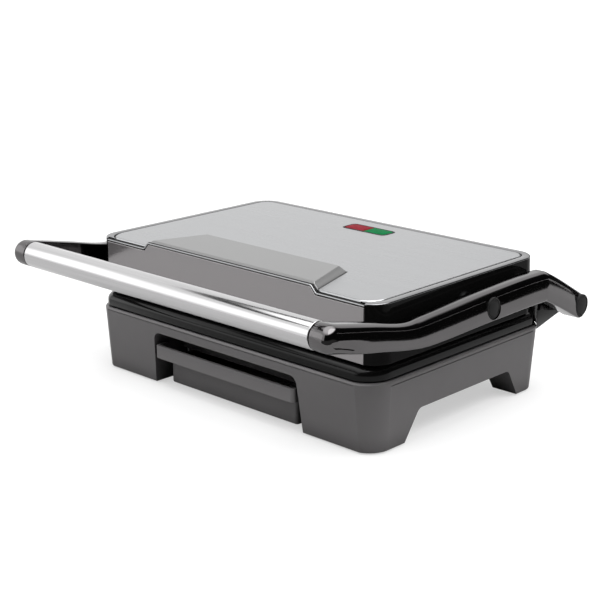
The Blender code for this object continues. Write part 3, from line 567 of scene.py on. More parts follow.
def base_shell():
    z0, z1 = BASE_Z
    edge, shoulder = 0.8, 1.7
    rings = []
    for turn in turns(3):
        rings.append(at_height(base_plan(z0, edge * (1 - math.sin(turn))), z0 + edge * (1 - math.cos(turn))))
    rings.append(at_height(base_plan(z1 - shoulder), z1 - shoulder))
    for turn in turns(6)[1:]:
        z = z1 - shoulder * (1 - math.sin(turn))
        rings.append(at_height(base_plan(z1, shoulder * (1 - math.cos(turn))), z))
    shell = loft("base_shell_moulding", rings)
    bay = [(x, max(y, BAY_FRONT)) for x, y in body_outline(**BASE_HIGH, inset=3.4)]
    cutters = [
        prism("cut_bay", bay, BAY_FLOOR_Z, z1 + 5),
        prism("cut_hatch", rounded_rect(*HATCH_X, *HATCH_Y, HATCH_RADIUS), SKIRT_Z, BAY_FLOOR_Z + 1),
        prism("cut_seat", cover_outline(0.0), SKIRT_Z - 1, COVER_SEAT_Z),
        chute_cutter(),
        box("cut_spout", SPOUT_SLOT_X, SPOUT_SLOT_Y, (CHUTE_TOP_Z - 2, z1 + 2)),
        turned("cut_cord", [(165, 6.2), (185, 6.2)], INLET_AT, "y"),
    ]
    carve(shell, cutters + leg_cutters() + foot_cutters() + shoulder_grooves())
    ease(shell, 0.55, 3, 40, 18)
    return finish_piece(shell, "base", "base_shell", "base_housing")


def shoulder_grooves():
    """Fine grooves below the shoulder: one across the front, and a lower one along each side."""
    crease, depth = 117.0, 0.55
    front = BASE_Y[0] + depth
    tools = [box("cut_groove_front", (-crease, crease), (front - 6, front), (45.0, 45.6))]
    for side in (-1, 1):
        xs = ordered(side * (BASE_X[1] - depth - 0.2), side * (BASE_X[1] + 5))
        tools.append(box(f"cut_groove_{side}", xs, (14, 166), (43.7, 44.3)))
    return tools


def chute_cutter():
    """The opening between the front legs, closed at the top by rounded corners."""
    corner = (FRONT_LEG_INNER - CHUTE_RADIUS, CHUTE_TOP_Z - CHUTE_RADIUS)
    right = [(FRONT_LEG_INNER + FRONT_LEG_DRAFT, -3.0)] + arc(*corner, CHUTE_RADIUS, 0, QUARTER, 10)
    return prism_y("cut_chute", mirrored(right), -12, CHUTE_BACK)


def leg_cutters():
    """Everything under the skirt that isn't a leg, and the hollows inside the front legs."""
    slope = LEG_SLANT / SKIRT_Z
    arch = [
        (FRONT_LEG_BACK - slope, -1.0),
        (FRONT_LEG_BACK + LEG_SLANT, SKIRT_Z),
        (REAR_LEG_FRONT - LEG_SLANT, SKIRT_Z),
        (REAR_LEG_FRONT + slope, -1.0),
    ]
    arch = soft_corners(arch, 3.0, 6)
    channel = FRONT_LEG_INNER + FRONT_LEG_DRAFT
    tools = [
        prism_x("cut_side_arch", arch, -150, 150),
        box("cut_channel", (-channel, channel), (20, 60), (-2, SKIRT_Z)),
        box("cut_rear_arch", (-REAR_LEG_INNER, REAR_LEG_INNER), (130, 190), (-2, SKIRT_Z)),
    ]
    for side in (-1, 1):
        xs = ordered(side * 76, side * 122)
        tools.append(box(f"cut_leg_{side}", xs, (4, CHUTE_BACK), (6, BASE_Z[1] + 3)))
    return tools


def foot_cutters():
    tools = []
    for suffix in CORNERS:
        xs, ys, zs = extent(f"foot_pad_{suffix}")
        radius = (xs[1] - xs[0]) / 2
        centre = (xs[0] + radius, ys[0] + radius, 0)
        tools.append(turned(f"cut_{suffix}", [(-1, radius + 0.3), (zs[1] + 0.3, radius + 0.3)], centre, "z"))
    return tools


def cover_outline(inset):
    """Plan of the bottom cover: narrow between the front legs, wide amidships, narrower behind."""
    right = [
        (71 - inset, 29 + inset),
        (71 - inset, 46 + inset),
        (121 - inset, 46 + inset),
        (121 - inset, 138 - inset),
        (105 - inset, 138 - inset),
        (105 - inset, 169 - inset),
    ]
    return mirrored(right)


def base_bezel():
    """Glossy band on the shoulder: an upright side, a round top edge and a lip at the plate."""
    z0, z1 = RIM_Z
    inset = BASE_X[1] - RIM_X[1] + 0.7
    fillet, shadow_gap = 5.2, 0.4
    rings = [
        at_height(base_plan(BASE_Z[1], inset + 1.2), z0),
        at_height(base_plan(BASE_Z[1], inset + 1.0), z0 + shadow_gap),
    ]
    for turn in turns(3):
        z = z0 + shadow_gap + 0.7 * (1 - math.cos(turn))
        rings.append(at_height(base_plan(BASE_Z[1], inset + 0.7 * (1 - math.sin(turn))), z))
    side_top = z1 - fillet
    for turn in turns(10):
        drop = inset + fillet * (1 - math.cos(turn))
        rings.append(at_height(base_plan(BASE_Z[1], drop), side_top + fillet * math.sin(turn)))
    for turn in turns(3):
        opening = plate_outline(0.7 + 1.0 * (1 - math.sin(turn)))
        rings.append(at_height(opening, z1 - 1.0 * (1 - math.cos(turn))))
    rings.append(at_height(plate_outline(0.7), z0))
    bezel = loft("base_bezel", rings, closed=True)
    return finish_piece(bezel, "base", "gloss_black", "base_rim")


INLET_X, INLET_Y, INLET_Z = extent("cord_inlet_bushing")
INLET_AT = ((INLET_X[0] + INLET_X[1]) / 2, 0, (INLET_Z[0] + INLET_Z[1]) / 2)


def cord_bushing():
    """A ribbed rubber grommet, open where the mains lead would enter."""
    y0, y1 = INLET_Y
    face = BASE_Y[1]
    profile = [(y0, 3.6), (y0, 7.4), (y0 + 0.6, 7.9), (face - 3.8, 7.9), (face - 3.8, 5.9)]
    profile += [(face + 0.05, 5.9), (face + 0.05, 8.8)]
    profile += [(face + 0.4, 9.0), (face + 1.4, 9.0), (face + 1.9, 8.4)]
    ribs = 3
    pitch = (y1 - face - 2.4) / ribs
    for index in range(ribs):
        start = face + 2.2 + index * pitch
        radius = 7.6 - 0.75 * index
        profile += [(start, radius - 1.0), (start + 0.3, radius), (start + pitch * 0.6, radius - 0.2)]
        profile += [(start + pitch * 0.75, radius - 1.1)]
    profile += [(y1 - 0.2, 5.2), (y1, 4.8), (y1, 3.9), (y1 - 0.4, 3.6)]
    bushing = turned("cord_grommet", profile, INLET_AT, "y", hollow=True)
    return finish_piece(bushing, "base", "rubber", "cord_inlet_bushing")


def hinge_brackets():
    """Brackets that carry on the bezel behind the base and end in round knuckles with a collar."""
    radius = 9.0
    knuckle = arc(HINGE_Y, HINGE_Z, radius, math.radians(-96), math.radians(118), 28)
    top = [(182.0, 64.6), (176.6, 62.8), (174.4, 60.6), (173.4, 57.4), (152.0, 57.4)]
    outline = [(152.0, 44.0), (166.0, 43.4)] + knuckle + top
    for suffix, side in SIDES:
        inner, collar_end = sorted(abs(x) for x in extent(f"hinge_ear_{suffix}")[0])
        outer = RIM_X[1] + 0.3
        bracket = prism_x(f"hinge_bracket_{suffix}", outline, *ordered(side * inner, side * outer))
        hull = prism("cut_hull", body_outline(**BASE_HIGH, inset=-0.4), 40, 60)
        carve(bracket, [hull])
        ease(bracket, 1.6, 4)
        collar = turned("collar", on_side(side, [(outer - 1, 7.0), (collar_end, 7.0)]), HINGE_AT, "x")
        bore = turned("cut_bore", on_side(side, [(110, 3.1), (140, 3.1)]), HINGE_AT, "x")
        carve(bracket, [bore], [collar])
        shade(bracket.data, 35)
        finish_piece(bracket, "base", "gloss_black", f"hinge_ear_{suffix}")


def hinge_pin_pieces():
    """Shouldered pins with a slotted head on the inner side."""
    for suffix, side in SIDES:
        x0, x1 = sorted(abs(x) for x in extent(f"hinge_pin_{suffix}")[0])
        profile = [(x0, 3.9), (x0 + 0.5, 4.6), (x0 + 2.6, 4.6), (x0 + 2.6, 3.0), (x1 - 0.6, 3.0), (x1, 2.4)]
        pin = turned(f"hinge_axle_{suffix}", on_side(side, profile), HINGE_AT, "x")
        xs = ordered(side * (x0 - 1), side * (x0 + 1.1))
        slot = box("cut_slot", xs, (HINGE_Y - 0.6, HINGE_Y + 0.6), (50, 70))
        carve(pin, [slot])
        finish_piece(pin, "base", "zinc", f"hinge_pin_{suffix}")


# ---------------------------------------------------------------- grill plates


def grill_plate(name, node, body, back_z, up):
    """A ribbed pan. up is 1 when the ribs point up from the back face, or -1."""
    rises = [(0.0, -1.4), (0.3, -0.9), (1.2, 0.0), (7.2, 0.0), (7.8, -0.25), (8.0, -0.8)]
    rises += [(8.0, -2.0), (7.8, -2.6), (3.4, -4.2), (3.0, -4.9), (3.0, -5.4)]
    rings = [at_height(plate_outline(growth), back_z + up * rise) for rise, growth in rises]
    plate = loft(name, rings)
    additions = [rib_bars(f"{name}_ribs", back_z, up)]
    cutters = []
    if up > 0:
        additions.append(box("spout", (-9, 9), (15.8, 23.2), (PLATE_Z[0], back_z + 1)))
        cutters.append(box("cut_spout_bore", (-7.4, 7.4), (18.4, 21.6), (30, 60)))
    carve(plate, cutters, additions)
    ease(plate, 0.3, 2, 45)
    return finish_piece(plate, body, "nonstick", node)


def rib_bars(name, back_z, up):
    """Parallel ribs with round crests and sloping ends, as separate bars in one tool."""
    count, pitch = 21, 10.0
    front, rear = PLATE_Y[0] + 11.0, PLATE_Y[1] - 8.0
    crest = arc(0, 0, 1.25, 0, 2 * QUARTER, 6)
    flank = [(2.8, 2.0), (1.9, 4.2)]
    section = flank + [(x, 6.2 + z) for x, z in crest] + [(-x, z) for x, z in reversed(flank)]
    points, faces = [], []
    for index in range(count):
        middle = (index - (count - 1) / 2) * pitch
        start = len(points)
        for y, shift in ((front, 1), (rear, -1)):
            for x, rise in section:
                points.append((middle + x, y + shift * (rise - 2.0) * 0.5, back_z + up * rise))
        size = len(section)
        for j in range(size):
            k = (j + 1) % size
            faces.append((start + j, start + k, start + size + k, start + size + j))
        faces.append(tuple(range(start, start + size)))
        faces.append(tuple(range(start + size, start + 2 * size)))
    return new_object(name, points, faces)


# ---------------------------------------------------------------- drip tray


def drip_tray_piece():
    """The sliding tray: a round-edged pan, side flanges and a box-shaped pull."""
    pull_x = TRAY_X[1]
    (y0, y1), (z0, z1) = TRAY_Y, TRAY_Z
    half, front, rim_z, wall = 61.0, 5.2, 20.4, 1.6
    pull_low = 21.0
    rings = []
    for turn in turns(4):
        inset = 1.2 * (1 - math.sin(turn))
        plan = rounded_rect(-half, half, front, y1, 2.6 - inset, inset)
        rings.append(at_height(plan, z0 + 1.2 * (1 - math.cos(turn))))
    inside = rounded_rect(-half, half, front, y1, 1.8, wall)
    floor = rounded_rect(-half, half, front, y1, 0.8, wall + 1.4)
    rings.append(at_height(rounded_rect(-half, half, front, y1, 2.6), rim_z))
    rings += [at_height(inside, rim_z), at_height(inside, z0 + wall + 1.4), at_height(floor, z0 + wall)]
    tray = loft("drip_tray_moulding", rings)
    additions = [
        box("front_wall", (-half + 1, half - 1), (front, front + wall), (rim_z - 1, pull_low + 1)),
        prism("pull", mirrored(pull_half(pull_x, y0, front + wall, 2.6)), pull_low, z1),
    ]
    for side in (-1, 1):
        xs = ordered(side * (half - 1), side * (half + 4.2))
        additions.append(box(f"flange_{side}", xs, (26, y1 - 2), (rim_z - 2, rim_z)))
    hollow = mirrored(pull_half(pull_x - 2.2, y0 + 2.2, front + wall + 2, 1.4))
    carve(tray, [prism("cut_pocket", hollow, pull_low + wall, z1 + 1)], additions)
    ease(tray, 0.4, 3, 45)
    return finish_piece(tray, "tray", "tray_shell", "drip_tray")


def pull_half(half, front, rear, radius):
    """Right half of the pull's plan, round at its front corner."""
    return arc(half - radius, front + radius, radius, -QUARTER, 0, 8) + [(half, rear)]


# ---------------------------------------------------------------- lid

LID_TOP = dict(half=LID_X[1] - 0.8, crease=120.4, front=0.0, rear=LID_Y[1] - 0.8, rear_radius=15.0)
LID_LOW = dict(half=LID_X[1], crease=120.4, front=0.0, rear=LID_Y[1], rear_radius=15.0)
STEEL = dict(half=STEEL_X[1], crease=114.0, front=STEEL_Y[0], rear=STEEL_Y[1], rear_radius=9.0)
TOP_Z = LID_Z[1]
TRIM_DEPTH = 0.9


def fascia_recess():
    """Cutter for the flat front behind the painted panel."""
    flat = PANEL_X[1] + 0.5
    return box("cut_flat", (-flat, flat), (-8, PANEL_Y[1] + 0.3), (50, 110))


def lid_shell():
    """Glossy shell: a drafted wall, a round top edge, a narrow land and the steel plate's recess."""
    low_z = LID_Z[0]
    inner = body_outline(127.2, 118.0, 6.4, LID_Y[1] - 3.4, 12.0)
    rings = [at_height(inner, TOP_Z - 3.4), at_height(inner, low_z + 0.4)]
    rings.append(level(LID_LOW, 3.0, low_z))
    for turn in turns(3):
        z = low_z + 0.8 * (1 - math.cos(turn))
        rings.append(level(LID_LOW, 0.8 * (1 - math.sin(turn)), z))
    rings.append(level(LID_TOP, 0.0, TOP_Z - TRIM_DEPTH))
    rings.append(level(STEEL, -0.4, TOP_Z - TRIM_DEPTH))
    shell = loft("lid_shell_moulding", rings)
    xs, ys = (WINDOW_X[0] + 0.9, WINDOW_X[1] - 0.9), (WINDOW_Y[0] + 0.9, WINDOW_Y[1] - 0.9)
    cutters = [
        fascia_recess(),
        box("cut_window", xs, ys, (90, 100)),
        turned("cut_pivots", [(-140, 4.3), (140, 4.3)], PIVOT_AT, "x"),
    ]
    carve(shell, cutters)
    ease(shell, 0.25, 2, 50)
    return finish_piece(shell, "lid", "lid_gloss", "lid_housing")


def top_trim():
    """Light ring round the steel sheet: a flat land that ends in a tight edge at the lid's wall."""
    fillet, groove = 0.8, 0.75
    rings = [level(LID_TOP, 0.0, TOP_Z - TRIM_DEPTH)]
    for turn in turns(4):
        z = TOP_Z - fillet * (1 - math.sin(turn))
        rings.append(level(LID_TOP, fillet * (1 - math.cos(turn)), z))
    for growth, drop in ((groove + 0.4, 0.0), (groove + 0.1, 0.12), (groove, 0.4), (groove, TRIM_DEPTH)):
        rings.append(level(STEEL, -growth, TOP_Z - drop))
    trim = loft("lid_top_trim", rings, closed=True)
    carve(trim, [fascia_recess()])
    finish_piece(trim, "lid", "trim_grey")


def lid_underside():
    """Ring that closes the gap between the lid's wall and the upper plate."""
    z0, z1 = extent("lid_bottom_frame")[2]
    outer = dict(half=126.8, crease=117.6, front=6.8, rear=LID_Y[1] - 3.8, rear_radius=11.6)
    rings = [level(outer, 0.6, z0), level(outer, 0.0, z0 + 0.6)]
    rings += [level(outer, 0.0, z1), at_height(plate_outline(0.7), z1)]
    rings += [at_height(plate_outline(0.7), z0 + 0.6), at_height(plate_outline(1.3), z0)]
    ring = loft("lid_underside_ring", rings, closed=True)
    return finish_piece(ring, "lid", "gloss_black", "lid_bottom_frame")


CREST_HALF, CREST_SLOPE = CREST_X[1], 4.2
CREST_REAR_HALF = 66.0


def front_fascia():
    """Flat painted front, stepped up in the middle to meet the crest."""
    low, high = TOP_Z - 2.7, PANEL_Z[1] - 2.0
    right = [
        (PANEL_X[1], PANEL_Z[0]),
        (PANEL_X[1], low),
        (CREST_HALF + 0.2, low),
        (CREST_HALF - CREST_SLOPE + 0.2, high),
    ]
    panel = prism_y("lid_front_fascia", mirrored(right), PANEL_Y[0], PANEL_Y[1])
    ease(panel, 0.45, 3)
    return finish_piece(panel, "lid", "panel_paint", "lid_front_panel")


def fascia_bead(name, slot, radius, y):
    """A round strip along the top edge of the front, following the step of the crest."""
    low, high = TOP_Z - 1.65, PANEL_Z[1] - 0.95
    right = [(PANEL_X[1], low), (CREST_HALF + 0.6, low), (CREST_HALF - CREST_SLOPE + 0.5, high)]
    path = soft_corners([(-x, z) for x, z in right] + list(reversed(right)), 1.2)
    curve = bpy.data.curves.new(name, "CURVE")
    curve.dimensions = "3D"
    curve.bevel_depth = radius * MM
    curve.bevel_resolution = 4
    curve.use_fill_caps = True
    spline = curve.splines.new("POLY")
    spline.points.add(len(path) - 1)
    for point, (x, z) in zip(spline.points, path):
        point.co = (*place(x, y, z), 1.0)
    guide = linked("bead_guide", curve)
    graph = bpy.context.evaluated_depsgraph_get()
    mesh = bpy.data.meshes.new_from_object(guide.evaluated_get(graph))
    bpy.data.objects.remove(guide, do_unlink=True)
    mesh.shade_smooth()
    bead = linked(name, mesh)
    return finish_piece(bead, "lid", slot)


def soft_corners(path, radius, steps=4):
    """The path with each inner corner replaced by a short curve."""
    points = [path[0]]
    for before, corner, after in zip(path, path[1:], path[2:]):
        start = Vector(corner) + (Vector(before) - Vector(corner)).normalized() * radius
        end = Vector(corner) + (Vector(after) - Vector(corner)).normalized() * radius
        for step in range(steps + 1):
            t = step / steps
            points.append(tuple((1 - t) ** 2 * start + 2 * t * (1 - t) * Vector(corner) + t * t * end))
    return points + [path[-1]]


def crest_ring(inset, z):
    """Plan of the crest at a height: wider in front, with its front edge behind the fascia."""
    front, rear = CREST_HALF - inset, CREST_REAR_HALF - max(0.0, inset - 0.4)
    roll = max(0.0, z - CREST_Z[1] + 1.6) ** 2 / 1.6
    y0, y1 = max(CREST_Y[0], 2.0) + roll, CREST_Y[1] - 0.9 * inset
    return [(-front, y0, z), (front, y0, z), (rear, y1, z), (-rear, y1, z)]


def crest_cover():
    """Low platform on the lid with bevelled flanks and a rolled front edge."""
    z0, z1 = CREST_Z
    base_z = TOP_Z
    rings = [crest_ring(0.0, z0), crest_ring(0.0, base_z)]
    for step in range(1, 7):
        share = step / 6
        rings.append(crest_ring(CREST_SLOPE * share, base_z + (z1 - base_z) * share))
    crest = loft("lid_crest_cover", rings, smooth_angle=50)
    ease(crest, 0.5, 3, 25)
    return finish_piece(crest, "lid", "crest_paint", "lid_crest")


def steel_sheet():
    """Brushed sheet with a rolled edge, cut out round the crest and the indicator window."""
    top = STEEL_Z[1]
    roll = 1.3
    rings = [level(STEEL, 0.0, STEEL_Z[0] - 0.2)]
    for turn in turns(5):
        z = top + 0.25 - roll * (1 - math.sin(turn))
        rings.append(level(STEEL, roll * (1 - math.cos(turn)), z))
    sheet = loft("lid_steel_sheet", rings)
    front, rear = CREST_HALF + 0.4, CREST_REAR_HALF + 0.4
    slope = (front - rear) / CREST_Y[1]
    notch = [(-front - 8 * slope, -4.7), (front + 8 * slope, -4.7), (rear, 47.0), (-rear, 47.0)]
    window = rounded_rect(*WINDOW_X, *WINDOW_Y, 4.2, -0.3)
    carve(sheet, [prism("cut_notch", notch, 90, 100), prism("cut_window", window, 90, 100)])
    ease(sheet, 0.18, 2, 60)
    return finish_piece(sheet, "lid", "brushed_steel", "steel_top_plate")


def indicator_window():
    """Dark surround with a red and a green lens, each slightly domed."""
    (x0, x1), (y0, y1), (z0, z1) = WINDOW_X, WINDOW_Y, WINDOW_Z
    outer = rounded_rect(x0, x1, y0, y1, 3.9)
    inner = rounded_rect(x0, x1, y0, y1, 3.2, 0.9)
    lip = rounded_rect(x0, x1, y0, y1, 3.7, 0.25)
    rings = [at_height(outer, z0), at_height(outer, z1 - 0.25), at_height(lip, z1), at_height(inner, z1)]
    rings.append(at_height(inner, z0))
    finish_piece(loft("indicator_surround", rings, closed=True), "lid", "cap_matte", "indicator_bezel")
    for name in ("red_lens", "green_lens"):
        (x0, x1), (y0, y1), (z0, z1) = extent(name)
        rings = [at_height(lens_outline(x0, x1, y0, y1, name), z0)]
        for inset, drop in ((0.0, 1.2), (0.12, 0.9), (0.4, 0.7), (1.0, 0.6), (3.0, 0.5)):
            outline = lens_outline(x0 + inset, x1 - inset, y0 + inset, y1 - inset, name)
            rings.append(at_height(outline, z1 - drop))
        finish_piece(loft(f"indicator_{name}", rings), "lid", name, name)


def lens_outline(x0, x1, y0, y1, name):
    """A rectangle with its two outer corners rounded and its inner edge straight."""
    radius = 3.0
    front_corner = arc(x1 - radius, y0 + radius, radius, -QUARTER, 0, 8)
    rear_corner = arc(x1 - radius, y1 - radius, radius, 0, QUARTER, 8)
    outline = [(x0, y0)] + front_corner + rear_corner + [(x0, y1)]
    return outline if name == "green_lens" else [(x0 + x1 - x, y) for x, y in reversed(outline)]


def pivot_pins():
    """Pins fixed in the lid's side walls, with a collar that spaces the lid from the arm."""
    for suffix, side in SIDES:
        stations = [(122.4, 6.4), (122.9, 7.0), (126.6, 7.0), (126.6, 4.0), (131.4, 4.0), (131.4, 6.6)]
        stations += [(131.8, 7.0), (135.4, 7.0), (135.8, 6.6), (135.8, 4.0), (147.2, 4.0), (147.8, 3.4)]
        pin = turned(f"lid_pivot_{suffix}", on_side(side, stations), PIVOT_AT, "x")
        finish_piece(pin, "lid", "zinc", f"lid_pivot_pin_{suffix}")


# ---------------------------------------------------------------- handle

ARM_IN, ARM_OUT = 136.2, ARM_X[1]
ARM_PATH = [
    # y, z, half height
    (*TUBE_MID, TUBE_RADIUS),
    (-20.0, 86.0, 8.2),
    (10.0, 80.0, 7.9),
    (34.0, 79.0, 9.0),
    (90.0, 80.7, 9.5),
    (146.0, 81.4, 9.7),
    (160.5, 78.6, 9.5),
    (HINGE_Y, HINGE_Z, 9.0),
]
ARM_WIDTH = ARM_OUT - ARM_IN
FACE_RADIUS, FACE_MIDDLE = 30.0, -8.0
HINGE_DISC, PIVOT_DISC = 7.8, 7.0
ELBOW_LENGTH = 26.0
PROFILE_STEPS = 8


def smooth_path(path, steps):
    """Catmull-Rom points through the path, keeping its ends."""
    nodes = [path[0]] + list(path) + [path[-1]]
    points = []
    for i in range(1, len(nodes) - 2):
        p0, p1, p2, p3 = nodes[i - 1 : i + 3]
        for step in range(steps):
            t = step / steps
            weights = (
                (-t + 2 * t * t - t**3) / 2,
                (2 - 5 * t * t + 3 * t**3) / 2,
                (t + 4 * t * t - 3 * t**3) / 2,
                (-t * t + t**3) / 2,
            )
            points.append(tuple(sum(w * p[k] for w, p in zip(weights, (p0, p1, p2, p3))) for k in range(3)))
    points.append(path[-1])
    return points


def outer_face(height):
    """How far out the arm's crowned outer face lies, at a height on a section 18 mm tall."""
    return ARM_WIDTH - (FACE_RADIUS - math.sqrt(FACE_RADIUS**2 - (height - FACE_MIDDLE) ** 2))


def half_profile(side, corner, inner_corner=1.4):
    """Half an arm's section as (outwards, share of the half height): from the spine of the inner
    face, round the top (side 1) or the bottom (side -1), to the spine of the outer face."""
    half = 9.0
    points = [(0.0, 0.0), (0.0, 0.5), (0.0, 1 - inner_corner / half)]
    for turn in turns(4)[1:]:
        points.append((inner_corner * (1 - math.cos(turn)), 1 - inner_corner / half * (1 - math.sin(turn))))
    edge = outer_face(side * (half - corner))
    tilt = math.asin((side * (half - corner) - FACE_MIDDLE) / FACE_RADIUS) * side
    start_x = edge - corner * math.cos(tilt)
    points.append((start_x * 0.5, 1.0))
    centre_h = half - corner
    for step in range(PROFILE_STEPS + 1):
        turn = QUARTER + (max(tilt, 0.0) - QUARTER) * step / PROFILE_STEPS
        points.append((start_x + corner * math.cos(turn), (centre_h + corner * math.sin(turn)) / half))
    last = points[-1][1]
    for step in range(1, PROFILE_STEPS + 1):
        share = last * (1 - step / PROFILE_STEPS)
        points.append((outer_face(side * share * half), share))
    return points


def arm_stations():
    """(centre y, centre z, direction, half height, share of the top's section, share of the elbow's)."""
    path = smooth_path(ARM_PATH, 6)
    top, bottom = [], []
    for i, (y, z, half) in enumerate(path):
        before, after = path[max(i - 1, 0)], path[min(i + 1, len(path) - 1)]
        heading = math.atan2(after[1] - before[1], after[0] - before[0])
        near = max(0.0, 1 - (y - TUBE_MID[0]) / ELBOW_LENGTH)
        bent = near * near * (3 - 2 * near)
        top.append((y, z, heading + QUARTER, half, 1.0, bent))
        bottom.append((y, z, heading - QUARTER, half, 0.0, bent))
    steps = 18
    rear, front = [], []
    for step in range(1, steps):
        share = step / steps
        swing = 0.5 - 0.5 * math.cos(share * math.pi)
        y, z, turn, half = bottom[-1][:4]
        rear.append((y, z, turn + share * 2 * QUARTER, half, swing, 0.0))
        y, z, turn, half = top[0][:4]
        front.append((y, z, turn + share * 2 * QUARTER, half, 1 - swing, 1.0))
    return bottom, rear, list(reversed(top)), front


def handle_arm(suffix, side):
    """A bent bar with a flat top, a crowned outer face and round ends, joined to its boss."""
    bottom, rear, top, front = arm_stations()
    over, under, elbow = half_profile(1, 6.2), half_profile(-1, 1.6), half_profile(1, 6.4, 0.15)
    stations = bottom + rear + top + front
    points = []
    for y, z, turn, half, share, bent in stations:
        for high, low, round_end in zip(over, under, elbow):
            x, rise = (share * a + (1 - share) * b for a, b in zip(high, low))
            x, rise = ((1 - bent) * a + bent * b for a, b in zip((x, rise), round_end))
            reach = rise * half
            points.append((side * (ARM_IN + x), y + reach * math.cos(turn), z + reach * math.sin(turn)))
    count = len(over)
    faces = []
    for i in range(len(stations)):
        low, high = i * count, (i + 1) % len(stations) * count
        for j in range(count - 1):
            faces.append((low + j, low + j + 1, high + j + 1, high + j))
    arm = new_object(f"handle_arm_moulding_{suffix}", points, faces, 40)
    stitch_spine(arm)
    middle = (0, *TUBE_MID)
    bulk = TUBE_RADIUS - 0.03
    boss_profile = [(123, 6.6), (123.6, 7.2), (133.7, 7.2), (133.7, 8.2), (134.1, bulk), (139, bulk)]
    boss = turned("boss", on_side(side, boss_profile), middle, "x", 72)
    rod = turned("cut_rod", on_side(side, [(120, 2.8), (146, 2.8)]), middle, "x", 24)
    cutters = [rod]
    for centre, pin, disc in ((HINGE_AT, 3.1, HINGE_DISC), (PIVOT_AT, 4.1, PIVOT_DISC)):
        seat = [(134, pin), (146.0, pin), (146.0, disc + 0.3), (152, disc + 0.3)]
        cutters.append(turned("cut_seat", on_side(side, seat), centre, "x", 64))
    carve(arm, cutters, [boss])
    shade(arm.data, 40)
    return finish_piece(arm, "handle", "arm_gloss", f"handle_arm_{suffix}")


def stitch_spine(obj):
    """Merges the points that the two halves of a bar share along its spine."""
    shape = bmesh.new()
    shape.from_mesh(obj.data)
    bmesh.ops.remove_doubles(shape, verts=shape.verts, dist=2e-6)
    bmesh.ops.dissolve_degenerate(shape, dist=1e-7, edges=shape.edges)
    bmesh.ops.recalc_face_normals(shape, faces=shape.faces)
    shape.to_mesh(obj.data)
    shape.free()


def arm_caps():
    """Matte discs in the arms' outer faces, slightly dished, with a fine ring near the edge."""
    for suffix, side in SIDES:
        for joint, centre, radius, face in (
            ("hinge", HINGE_AT, HINGE_DISC, 149.5),
            ("pivot", PIVOT_AT, PIVOT_DISC, 149.2),
        ):
            profile = [(146.3, radius - 0.1), (face - 0.5, radius), (face - 0.1, radius - 0.2)]
            profile += [(face, radius - 0.6), (face, radius - 1.2), (face - 0.25, radius - 1.4)]
            profile += [(face - 0.25, radius - 1.6), (face - 0.05, radius - 1.8)]
            profile += [(face + 0.15, 3.0), (face + 0.2, 0.4)]
            cap = turned(f"{joint}_disc_{suffix}", on_side(side, profile), centre, "x", 64)
            finish_piece(cap, "handle", "cap_matte", f"{joint}_cap_{suffix}")


def grip_tube():
    """Brushed tube with rolled-in ends."""
    half, inner, roll = TUBE_X[1], TUBE_RADIUS - 1.0, 0.45
    end = [(half - roll * (1 - math.sin(t)), TUBE_RADIUS - roll * (1 - math.cos(t))) for t in turns(5)]
    profile = [(-a, r) for a, r in reversed(end)] + end + [(half, inner), (-half, inner)]
    tube = turned("handle_grip_tube", profile, (0, *TUBE_MID), "x", 96, hollow=True)
    return finish_piece(tube, "handle", "tube_steel", "handle_tube")


# ---------------------------------------------------------------- small parts carried over from CAD

CARRIED_OVER = {
    "bottom_cover": ("base_shell", 0.4),
    **{f"foot_pad_{corner}": ("rubber", 0.3) for corner in CORNERS},
    "lower_heating_element": ("heater_steel", 0.0),
    "upper_heating_element": ("heater_steel", 0.0),
    "lower_reflector": ("reflector", 0.2),
    "upper_reflector": ("reflector", 0.2),
    "lower_thermostat": ("ceramic", 0.3),
    "upper_thermostat": ("ceramic", 0.3),
    "thermal_fuse": ("zinc", 0.2),
    "terminal_block": ("ceramic", 0.5),
    "neon_lamp_red": ("lamp_glass", 0.0),
    "neon_lamp_green": ("lamp_glass", 0.0),
    "tray_rail_right": ("zinc", 0.3),
    "tray_rail_left": ("zinc", 0.3),
    "handle_tie_rod": ("zinc", 0.3),
}


def carry_over():
    """Finishes the CAD nodes whose own shape is already right."""
    for name, (slot, width) in CARRIED_OVER.items():
        node = frame["nodes"][name]
        node.data.materials.clear()
        node.data.materials.append(MATERIALS[slot])
        weld = node.modifiers.new("weld", "WELD")
        weld.merge_threshold = 1e-5
        if width:
            edges = node.modifiers.new("edges", "BEVEL")
            edges.width = width * MM
            edges.segments = 2
            edges.limit_method = "ANGLE"
            edges.angle_limit = math.radians(40)
        shade(node.data, 40)


def cover_screws():
    """Pan-head screws with a cross recess."""
    for suffix in CORNERS:
        (x0, x1), (y0, y1), (z0, z1) = extent(f"cover_screw_{suffix}")
        x, y, radius = (x0 + x1) / 2, (y0 + y1) / 2, (x1 - x0) / 2
        head = z0 + 1.5
        profile = [(z0, radius * 0.5), (z0 + 0.2, radius * 0.8), (z0 + 0.6, radius)]
        profile += [(head, radius), (head, 1.4), (z1 - 1.2, 1.4), (z1, 0.4)]
        screw = turned(f"cover_screw_head_{suffix}", profile, (x, y, 0), "z", 32)
        arm, width = radius * 0.62, 0.35
        cross = [
            box("cut_a", (x - arm, x + arm), (y - width, y + width), (z0 - 1, z0 + 0.9)),
            box("cut_b", (x - width, x + width), (y - arm, y + arm), (z0 - 1, z0 + 0.9)),
        ]
        carve(screw, cross)
        finish_piece(screw, "base", "zinc", f"cover_screw_{suffix}")


# ---------------------------------------------------------------- studio


CAMERA_AT = (0.62872, -0.66456, 0.32935)
CAMERA_LENS, CAMERA_DIP, CAMERA_TURN = 82.03, 16.42, 43.39


